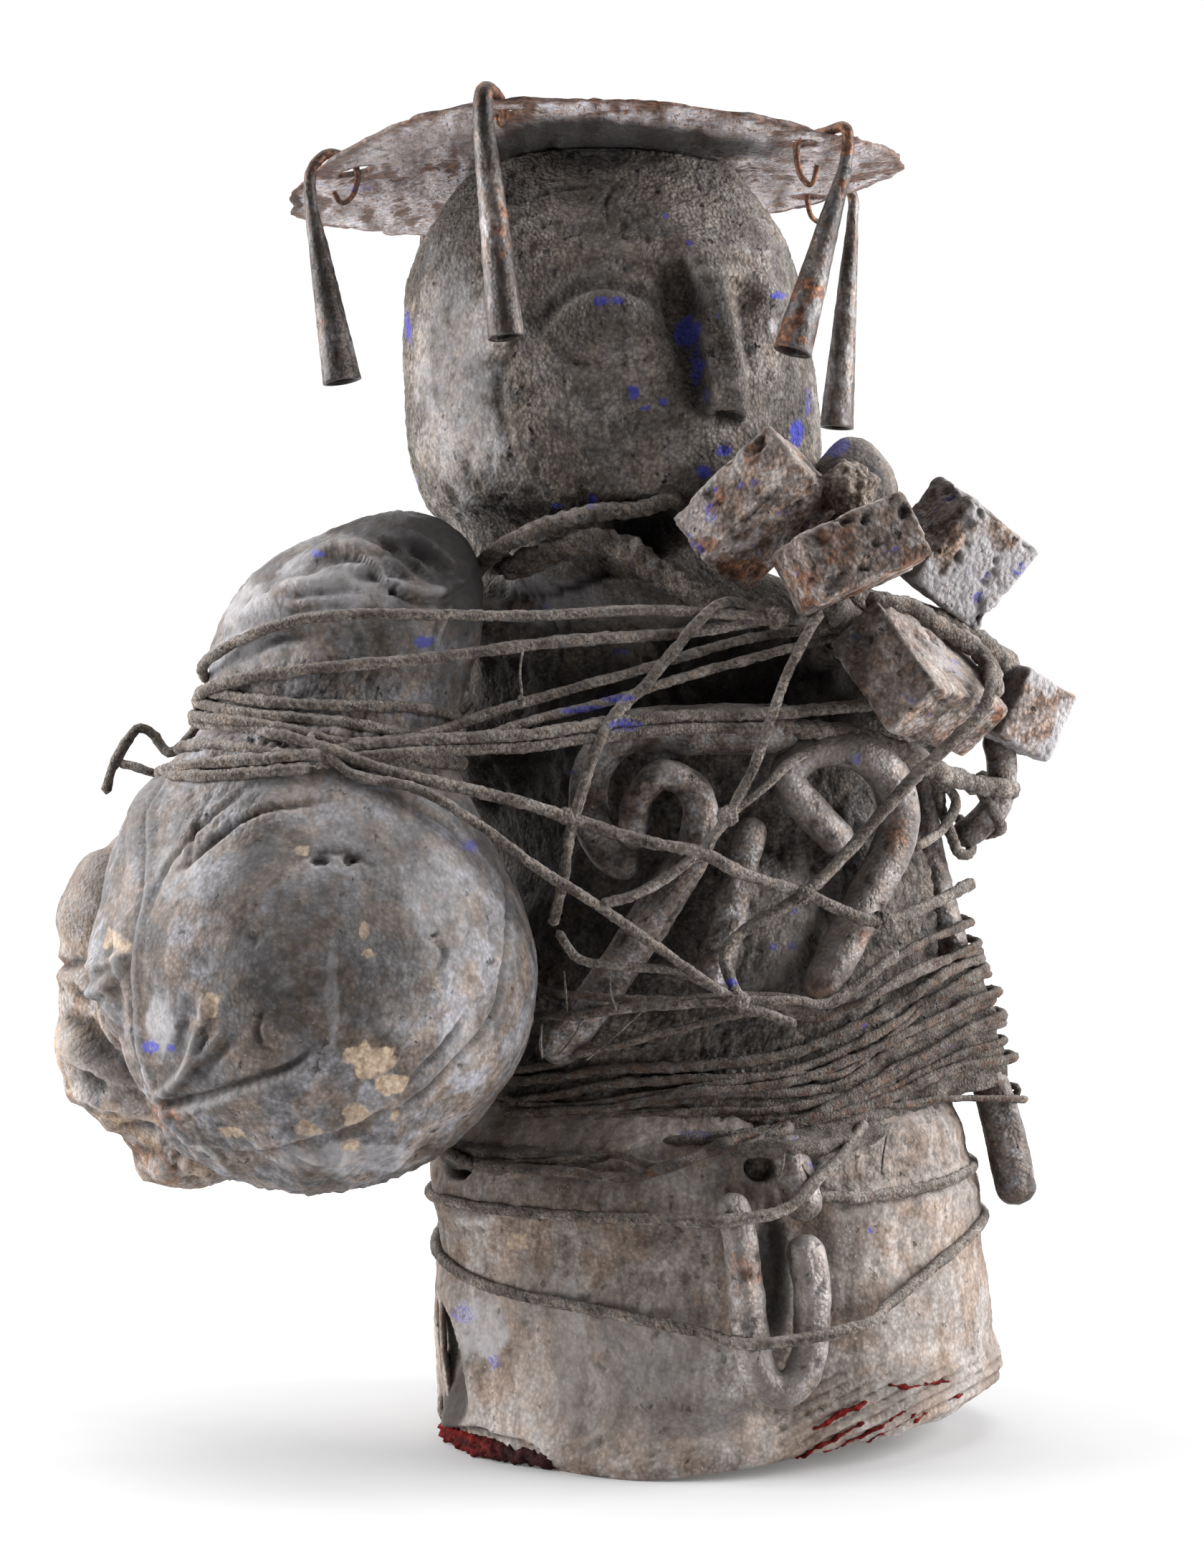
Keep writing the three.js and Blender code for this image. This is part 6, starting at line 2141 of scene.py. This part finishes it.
@dataclass
class Girth:
    """The taut outline round the trunk and the irons laid on it, level by level."""

    figure: CarvedFigure
    wrap: BaseWrap
    low: float = 70.0
    high: float = 176.0
    level: float = 3.0
    parts: int = 240

    def __post_init__(self) -> None:
        """Works out how far out the outline is in each direction at each height."""
        self.heights = np.arange(self.low, self.high, self.level)
        self.angles = np.linspace(-np.pi, np.pi, self.parts + 1)
        laid = [iron for iron in IRONS if iron.node != "block_hook"]
        rods = [(max(iron.radii), smooth_route(iron.route, 1.5)) for iron in laid]
        self.reach = np.array([self._level(z, rods) for z in self.heights])

    def _level(self, z: float, rods: list[tuple[float, Array]]) -> Array:
        """The outline at one height as a reach in each direction.

        Args:
            z: the height.
            rods: radius and points of each iron.

        Returns:
            One reach for each direction, in mm.
        """
        angle = np.linspace(-np.pi, np.pi, self.parts // 2, endpoint=False)
        outline = [self.figure.outline(angle, z + 0 * angle)[:, :2]]
        if z < 90:
            outline.append(self.wrap.outline(angle, min(z, 84.0) + 0 * angle)[:, :2] * 1.005)
        ring = np.stack([np.cos(angle[::6]), np.sin(angle[::6])], -1)
        for radius, path in rods:
            outline += [spot[:2] + radius * ring for spot in path[np.abs(path[:, 2] - z) < 2.5]]
        flat = np.vstack(outline)
        corners = flat[geometry.convex_hull_2d(flat.tolist())]
        nexts = np.roll(corners, -1, axis=0)
        share = np.linspace(0, 1, 30, endpoint=False)[:, None, None]
        dense = (corners + share * (nexts - corners)).reshape(-1, 2)
        way = np.arctan2(dense[:, 1], dense[:, 0])
        order = np.argsort(way)
        return np.interp(self.angles, way[order], np.linalg.norm(dense, axis=1)[order], period=2 * np.pi)

    def point(self, angle: Array, z: Array, lift: Array | float) -> Array:
        """Points on the outline, lifted off it.

        Args:
            angle: directions from the middle line.
            z: heights.
            lift: distance off the outline, in mm.

        Returns:
            The points.
        """
        row = np.clip((z - self.low) / self.level, 0, len(self.heights) - 1.001)
        i = row.astype(int)
        way = wrapped(angle)
        column = (way + np.pi) / (2 * np.pi) * self.parts
        j = np.clip(column.astype(int), 0, self.parts - 1)
        t, s = row - i, column - j
        reach = (1 - t) * ((1 - s) * self.reach[i, j] + s * self.reach[i, j + 1])
        reach += t * ((1 - s) * self.reach[i + 1, j] + s * self.reach[i + 1, j + 1])
        return np.stack([(reach + lift) * np.cos(angle), (reach + lift) * np.sin(angle), z], -1)

    def front_route(self, route: Route, lift: float) -> list[tuple[float, float]]:
        """Directions and heights at which seen points lie on the outline's front.

        Args:
            route: seen points.
            lift: distance off the outline, in mm.

        Returns:
            Direction and height of each.
        """
        found = []
        trial = np.linspace(-np.pi * 1.02, 0.12, 500)
        for across, up in route:
            z = np.full(500, float(up))
            for _ in range(3):
                place = self.point(trial, z, lift)
                z = EYE[2] + (up - EYE[2]) * (place[:, 1] - EYE[1]) / -EYE[1]
            off = seen(self.point(trial, z, lift))[:, 0] - across
            best = int(np.argmin(np.abs(off)))
            found.append((float(trial[best]), float(z[best])))
        return found


@dataclass
class BellyLashing:
    """Cord wound many times round the belly, spread where it passes over the long rod."""

    girth: Girth
    radius: float = 1.35
    arm: float = 75.0
    strands: tuple[tuple[float, Route], ...] = (
        (0.0, ((-56.3, 123.6), (-26.2, 125.4), (4.2, 130), (24.4, 129.3), (31.9, 128), (52.1, 140.1),
            (66, 147.6), (80, 153.3))),
        (1.2, ((-8.8, 128), (14.3, 127.6), (33.9, 124.3), (48.4, 130), (67.3, 138.8), (82, 146.3))),
        (0.4, ((-65.1, 103.4), (-33.7, 107.1), (4.2, 109.1), (29.5, 114.1), (46, 121.6), (64.9, 133.7),
            (84, 141.9))),
        (1.8, ((-69.1, 100.9), (-53.9, 95.9), (-26.2, 99), (-2.2, 102.7), (23.1, 105.6), (37, 105.6),
            (46, 111.1), (58.5, 121), (71.1, 130), (85, 136.5))),
        (0.2, ((-71.5, 97), (-55.2, 92.6), (-26.2, 96.6), (1.8, 99.6), (16.9, 99), (35.9, 102.3),
            (54.8, 113.3), (71.1, 121), (87, 128.4))),
        (1.6, ((-74.8, 92.4), (-55.2, 89.3), (-33.7, 91.9), (-8.4, 95), (16.9, 95.7), (37, 99),
            (54.8, 107.8), (72.4, 116.6), (89, 122))),
        (0.3, ((-77, 89.1), (-46.2, 88.4), (-21.1, 92.4), (4.4, 92.8), (22, 92.4), (37, 95), (54.8, 102.3),
            (71.1, 110), (90.6, 116.1))),
        (1.5, ((-79.2, 85.8), (-52.4, 85.3), (-26.2, 83.6), (-8.4, 85.8), (11.9, 87.5), (37, 93.2),
            (54.8, 99.4), (71.1, 106.7), (90.2, 111.3))),
        (0.8, ((-75.9, 79.6), (-59, 78.7), (-33.7, 80.9), (-16.1, 78.1), (0, 82.2), (16.9, 90.2),
            (37, 95.7), (57.2, 96.8), (71.1, 98.5), (90.2, 99), (93.3, 101.4))),
        (2.2, ((-74.1, 77.8), (-46.2, 76.5), (-26.2, 75.6), (-11, 79.2), (4.4, 85.8), (22, 89.1),
            (44, 101), (66, 113), (89, 124))),
        (0.9, ((-66.4, 105.8), (-52.6, 108.4), (-33.7, 114.1), (-21.1, 117.9), (1.8, 122.9), (17.6, 124.9),
            (33.9, 123.6), (56, 136), (82, 144))),
        (2.6, ((-79.2, 86.9), (-66, 92.4), (-44, 94.6), (-22, 97.6), (0, 100.7), (19.8, 102.3), (40, 110),
            (62, 120), (88, 132))),
        (1.0, ((-72, 94), (-50, 99.5), (-20, 104), (6, 105), (30, 109), (50, 119), (84, 139))),
    )

    def build(self, material: Material) -> None:
        """Makes the piece: the strands and the crust they lie in.

        Args:
            material: its finish.
        """
        shells = []
        for number, (lift, route) in enumerate(self.strands):
            front = self.girth.front_route(route, self.radius + lift)
            first, last = front[0], front[-1]
            back = 2 * np.pi + first[0]
            behind = []
            for t in (0.12, 0.3, 0.5, 0.7, 0.88):
                level = last[1] + t * (first[1] - last[1]) + 1.5 * math.sin(6 * t + number)
                behind.append((last[0] + t * (back - last[0]), level))
            angle, z = np.array([*front, *behind, (back, first[1] + 0.8)]).T
            even = smooth_route(np.stack([angle * self.arm, z], -1), 3.0)
            strand = np.stack([even[:, 0], even[:, 1], 0 * even[:, 0] + 40 * number], -1)
            even[:, 1] += 0.9 * fractal(strand, 26, 320, 2)
            points = self.girth.point(even[:, 0] / self.arm, even[:, 1], self.radius + lift)
            radius = self.radius * (1 + 0.22 * math.sin(3.7 * number))
            shells.append(cord_shell(points, radius, 300 + number, 1.4, 9, 1.9, 0.42))
        shells.append(self.bed())
        make_piece("lashing_belly", Shell.joined(shells), material, "cord", "belly_lashing")

    def bed(self) -> Shell:
        """The crust between the strands and under them, darkened all over as painted shade.

        Returns:
            The shell.
        """
        angle = np.linspace(-np.pi, np.pi, 300, endpoint=False)[None, :]
        share = np.linspace(0, 1, 34)[:, None]
        right, front, left = bump(angle + 0.1, 1.15), bump(angle + 1.45, 1.0), bump(angle + 2.7, 1.0)
        middle = 97 + 29 * right + 2 * front - 5 * left
        half = 11 + 9 * right - 2 * front
        z = middle + (share * 2 - 1) * half
        shape = (3.2 + 1.6 * front + 1.4 * left) * (1 - np.abs(share * 2 - 1) ** 4) - 2.6
        points = self.girth.point(angle + 0 * z, z, shape + 0 * z)
        out = normals_of(points)
        rough = 1.3 * fractal(points, 7, 330, 4, 0.6) + 0.8 * grains(points, 2.4, 331)
        points = points + out * rough[..., None]
        inner = self.girth.point(angle + 0 * z, z, shape * 0 - 9.0)[::-1]
        worn = np.clip(rough - 0.6, 0, 0.5)
        # painted shade over the whole bed, deeper where it is low
        relief = np.stack([clipped(0.45 - 0.3 * rough), worn, 0 * z, 0 * z + 0.45], -1)
        rings = np.concatenate([points, inner, points[:1]])
        marks = np.concatenate([relief, 0 * relief, relief[:1]])
        shell = Shell.from_rings(rings, None, marks)
        lids = 2 * rings.shape[1]
        return Shell(shell.points, shell.faces[:-lids], shell.traces, shell.relief)


@dataclass
class BaseLashing:
    """Cord that winds down over the wrap and the hanging hook. Turns are rows of (degrees, z, lift)."""

    wrap: BaseWrap
    arm: float = 80.0
    weight_of_lift: float = 4.0
    turns: tuple[Route, ...] = (
        ((-56, 97, 0), (-62, 93, 5), (-70, 86, 13), (-78, 77, 15), (-88, 74, 15), (-97, 73, 8),
            (-112, 72, 0), (-135, 72, 0), (-158, 72, 0), (-180, 72, 0), (-210, 71, 0), (-250, 70, 0),
            (-290, 69, 0), (-325, 68, 0)),
        ((70, 69, 0), (35, 68, 0), (8, 66, 0), (-18, 64, 0), (-38, 57, 0), (-57, 48, 4), (-68, 44, 15),
            (-84, 40, 15), (-95, 42, 5), (-115, 46, 0), (-138, 50, 0), (-160, 55, 0), (-180, 58, 0)),
        ((-160, 55, 0), (-180, 58, 0), (-205, 60, 0), (-250, 67, 0), (-300, 75, 0), (-335, 81, 0),
            (-360, 81, 0), (-385, 80, 0), (-405, 78, 0), (-420, 77, 0), (-430, 78, 3)),
    )

    def build(self, material: Material) -> None:
        """Makes the piece.

        Args:
            material: its finish.
        """
        shells = []
        for number, turn in enumerate(self.turns):
            rows = np.array(turn, float)
            even = smooth_route(rows * (math.radians(self.arm), 1, self.weight_of_lift), 4.0)
            angle, z = even[:, 0] / self.arm, even[:, 1]
            base = self.wrap.outline(angle, z)
            out = np.stack([np.cos(angle), np.sin(angle), 0 * angle], -1)
            lifted = base + out * (even[:, 2:] / self.weight_of_lift + 1.3)
            shells.append(cord_shell(lifted, 1.7, 340 + number))
        make_piece("lashing_base", Shell.joined(shells), material, "cord", "base_lashing")


@dataclass
class Throat:
    """Cord under the chin and the strap that crosses below it."""

    cord: Route = ((-74, -32, 257), (-66, -46, 263), (-58, -52, 267.5), (-48, -55, 271), (-39, -56, 273),
        (-22, -55, 275), (-12, -53, 279))
    strap: Route = ((-64, -42, 257), (-50, -51, 262.5), (-38, -55, 265), (-30, -57, 263), (-22, -60, 258),
        (-12, -65, 251), (-2, -69, 245))

    def build(self, material: Material) -> None:
        """Makes both pieces.

        Args:
            material: their finish.
        """
        make_piece("throat_cord", cord_shell(self.cord, 2.5, 350, crusted=1.7), material, "cord",
            "neck_cord")
        shell = cord_shell(self.strap, 3.7, 351, sides=20, crusted=2.4, shade=0.25)
        make_piece("throat_strap", shell, material, "cord", "chest_strap")


@dataclass
class Fibres:
    """Loose fibres that stand off the cords and bridge the gaps between them."""

    spans: tuple[tuple[Sequence[float], Sequence[float]], ...] = (((-46, -82, 143), (-45, -80, 131)),
        ((-33, -82, 143), (-31, -79, 131)), ((-52, -78, 128), (-52, -76, 117)),
        ((-40, -80, 130), (-48, -77, 118)), ((-24, -82, 131), (-40, -79, 117)),
        ((20, -80, 90), (24, -82, 84)), ((-57, -88, 233), (-57.5, -88, 219)), ((46, -70, 96), (44, -72, 84)),
        ((16, -82, 92), (14, -83, 84)))

    def build(self, material: Material) -> None:
        """Makes the piece.

        Args:
            material: its finish.
        """
        shells = []
        for number, (start, end) in enumerate(self.spans):
            a, b = np.array(start, float), np.array(end, float)
            sag = (0.8 * math.sin(5 * number), -0.5, 0.6 * math.cos(3 * number))
            shells.append(cord_shell([a, 0.5 * (a + b) + sag, b], 0.32, 360 + number, 1.0, 6, 0.8))
        shells.append(lump_shell((-57.6, -88, 218), (1.1, 1.0, 1.6), 370, 0.4))
        make_piece("fibres_loose", Shell.joined(shells), material, "cord")


# Light, floor and camera


class Side(Enum):
    """Where each soft light stands: (x, y, z) in m, power in W, width and height in m."""

    LEFT = ((-1.15, -0.05, 0.45), 30.0, 0.9, 1.1)
    RIGHT = ((1.15, -0.16, 0.45), 37.0, 0.9, 1.1)
    ABOVE = ((-0.05, 0.1, 1.4), 15.0, 1.4, 0.9)
    FRONT = ((-0.6, -1.6, 1.0), 1.0, 0.8, 0.8)


def pale_floor() -> None:
    """Makes a pale floor that glows, more and more away from the object, so that it turns to white."""
    mesh = bpy.data.meshes.new("floor_pale")
    size, lines = 4.0, 9
    line = np.linspace(-size, size, lines)
    x, y = np.meshgrid(line, line, indexing="ij")
    faces = grid_faces(np.arange(lines**2).reshape(lines, lines))
    mesh.from_pydata(np.stack([x, y, 0 * x], -1).reshape(-1, 3).tolist(), [], faces.tolist())
    floor = bpy.data.objects.new("floor_pale", mesh)
    bpy.context.scene.collection.objects.link(floor)
    material = bpy.data.materials.new("floor_white")
    material.use_nodes = True
    tree = Tree(material.node_tree)
    shader = material.node_tree.nodes["Principled BSDF"]
    shader.inputs["Roughness"].default_value = 0.85
    place = tree.add("ShaderNodeTexCoord").outputs["Object"]
    grain = tree.noise(place, 60.0, 4)
    far = tree.add("ShaderNodeVectorMath", {"operation": "LENGTH"})
    tree.feed(far.inputs[0], place)
    behind = tree.add("ShaderNodeSeparateXYZ", None, Vector=place)
    in_view = tree.remap(behind.outputs["Y"], -0.42, -0.16)
    glow = tree.math("MULTIPLY", tree.remap(far.outputs["Value"], 0.15, 1.0, 0.08, 1.0), in_view)
    near = tree.mix(grain, (0.555, 0.557, 0.567, 1), (0.585, 0.586, 0.59, 1))
    tree.feed(shader.inputs["Base Color"], tree.mix(in_view, (0.42, 0.42, 0.42, 1), near))
    tree.feed(shader.inputs["Emission Color"], tree.mix(glow, (0, 0, 0, 1), (1, 1, 1, 1)))
    shader.inputs["Emission Strength"].default_value = 1.0
    mesh.materials.append(material)


def soft_light() -> None:
    """Makes the soft lights and the white surround."""
    for side in Side:
        place, power, width, height = side.value
        lamp = bpy.data.lights.new(f"soft_{side.name.lower()}", "AREA")
        lamp.shape = "RECTANGLE"
        lamp.size = width
        lamp.size_y = height
        lamp.energy = power
        light = bpy.data.objects.new(lamp.name, lamp)
        light.location = place
        aim = Vector((-0.03, -0.02, 0.2)) - Vector(place)
        light.rotation_euler = aim.to_track_quat("-Z", "Y").to_euler()
        bpy.context.scene.collection.objects.link(light)
    world = bpy.data.worlds.new("white_surround")
    world.use_nodes = True
    tree = Tree(world.node_tree)
    background = world.node_tree.nodes["Background"]
    way = tree.add("ShaderNodeSeparateXYZ", None, Vector=tree.add("ShaderNodeTexCoord").outputs["Generated"])
    behind = tree.remap(way.outputs["Y"], -0.45, 0.6)
    glow = tree.mix(behind, (0.012, 0.012, 0.014, 1), (0.6, 0.6, 0.6, 1))
    path = tree.add("ShaderNodeLightPath")
    white = tree.mix(path.outputs["Is Camera Ray"], glow, (1.05, 1.05, 1.05, 1))
    tree.feed(background.inputs["Color"], white)
    bpy.context.scene.world = world
    bpy.context.scene.view_settings.view_transform = "Standard"


def camera() -> None:
    """Puts the camera where the photograph was taken from."""
    data = bpy.data.cameras.new("photo_eye")
    data.lens = LENS
    data.sensor_width = SENSOR
    data.clip_start = 0.05
    eye = bpy.data.objects.new("photo_eye", data)
    eye.location = [value * MM for value in EYE]
    eye.rotation_euler = (math.pi / 2, 0, 0)
    bpy.context.scene.collection.objects.link(eye)
    bpy.context.scene.camera = eye


def main() -> None:
    """Builds every piece in order."""
    logging.basicConfig(level=logging.INFO, format="%(message)s")
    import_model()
    camera()
    groups = {"mottle": mottle_group(), "crust": crust_group(), "traces": traces_group(),
        "dust": dust_and_shade_group()}
    finishes = {finish.name: finish.made(groups) for finish in FINISHES}
    disc = HatDisc()
    figure = CarvedFigure()
    wrap = BaseWrap()
    figure.build(finishes["crusted_wood"], disc)
    disc.build(finishes["rusted_sheet"])
    pendants = (
        Pendant(1, 210, (-111, -49), 59.5, outward=1.2),
        Pendant(2, 252, (-61.4, -97), 66.4, 3.8, 4, 5.0, neck_radius=3.1),
        Pendant(3, 317, (19, -72), 62.4, 2.5, 12, rust=0.9),
        Pendant(4, 32, (40.5, 51), 73.5),
        Pendant(5, 80, (-21, 96), 66),
        Pendant(6, 125, (-92, 79), 65),
    )
    for pendant in pendants:
        pendant.build(finishes["rolled_iron"], disc)
    Gourd().build(finishes["gourd_hide"])
    ClothBundle().build(finishes["bundle_cloth"])
    surface = wrap.build(finishes["wrap_hide"])
    TornEdge().build(finishes, surface)
    for iron in IRONS:
        iron.build(finishes["forged_iron"])
    for block in BLOCKS:
        block.build(finishes["block_iron"])
    ended = lump_shell((38, -46, 276), (13.5, 13.5, 20), 400, 0.7, ((34, 299, 7, 4, 1),))
    make_piece("ball_end_blue", ended, finishes["blue_wood"], "blue_wood", "ball_ended_piece")
    broken = lump_shell((35.5, -65, 280), (8, 6, 7), 410, 1.6)
    make_piece("lump_broken", broken, finishes["earth_lump"], "earth_lump", "broken_lump")
    Throat().build(finishes["cord"])
    girth = Girth(figure, wrap)
    BellyLashing(girth).build(finishes["cord"])
    BaseLashing(wrap).build(finishes["cord"])
    ChestLashing().build(finishes["cord"])
    Fibres().build(finishes["cord"])
    pale_floor()
    soft_light()


if __name__ == "__main__":
    main()
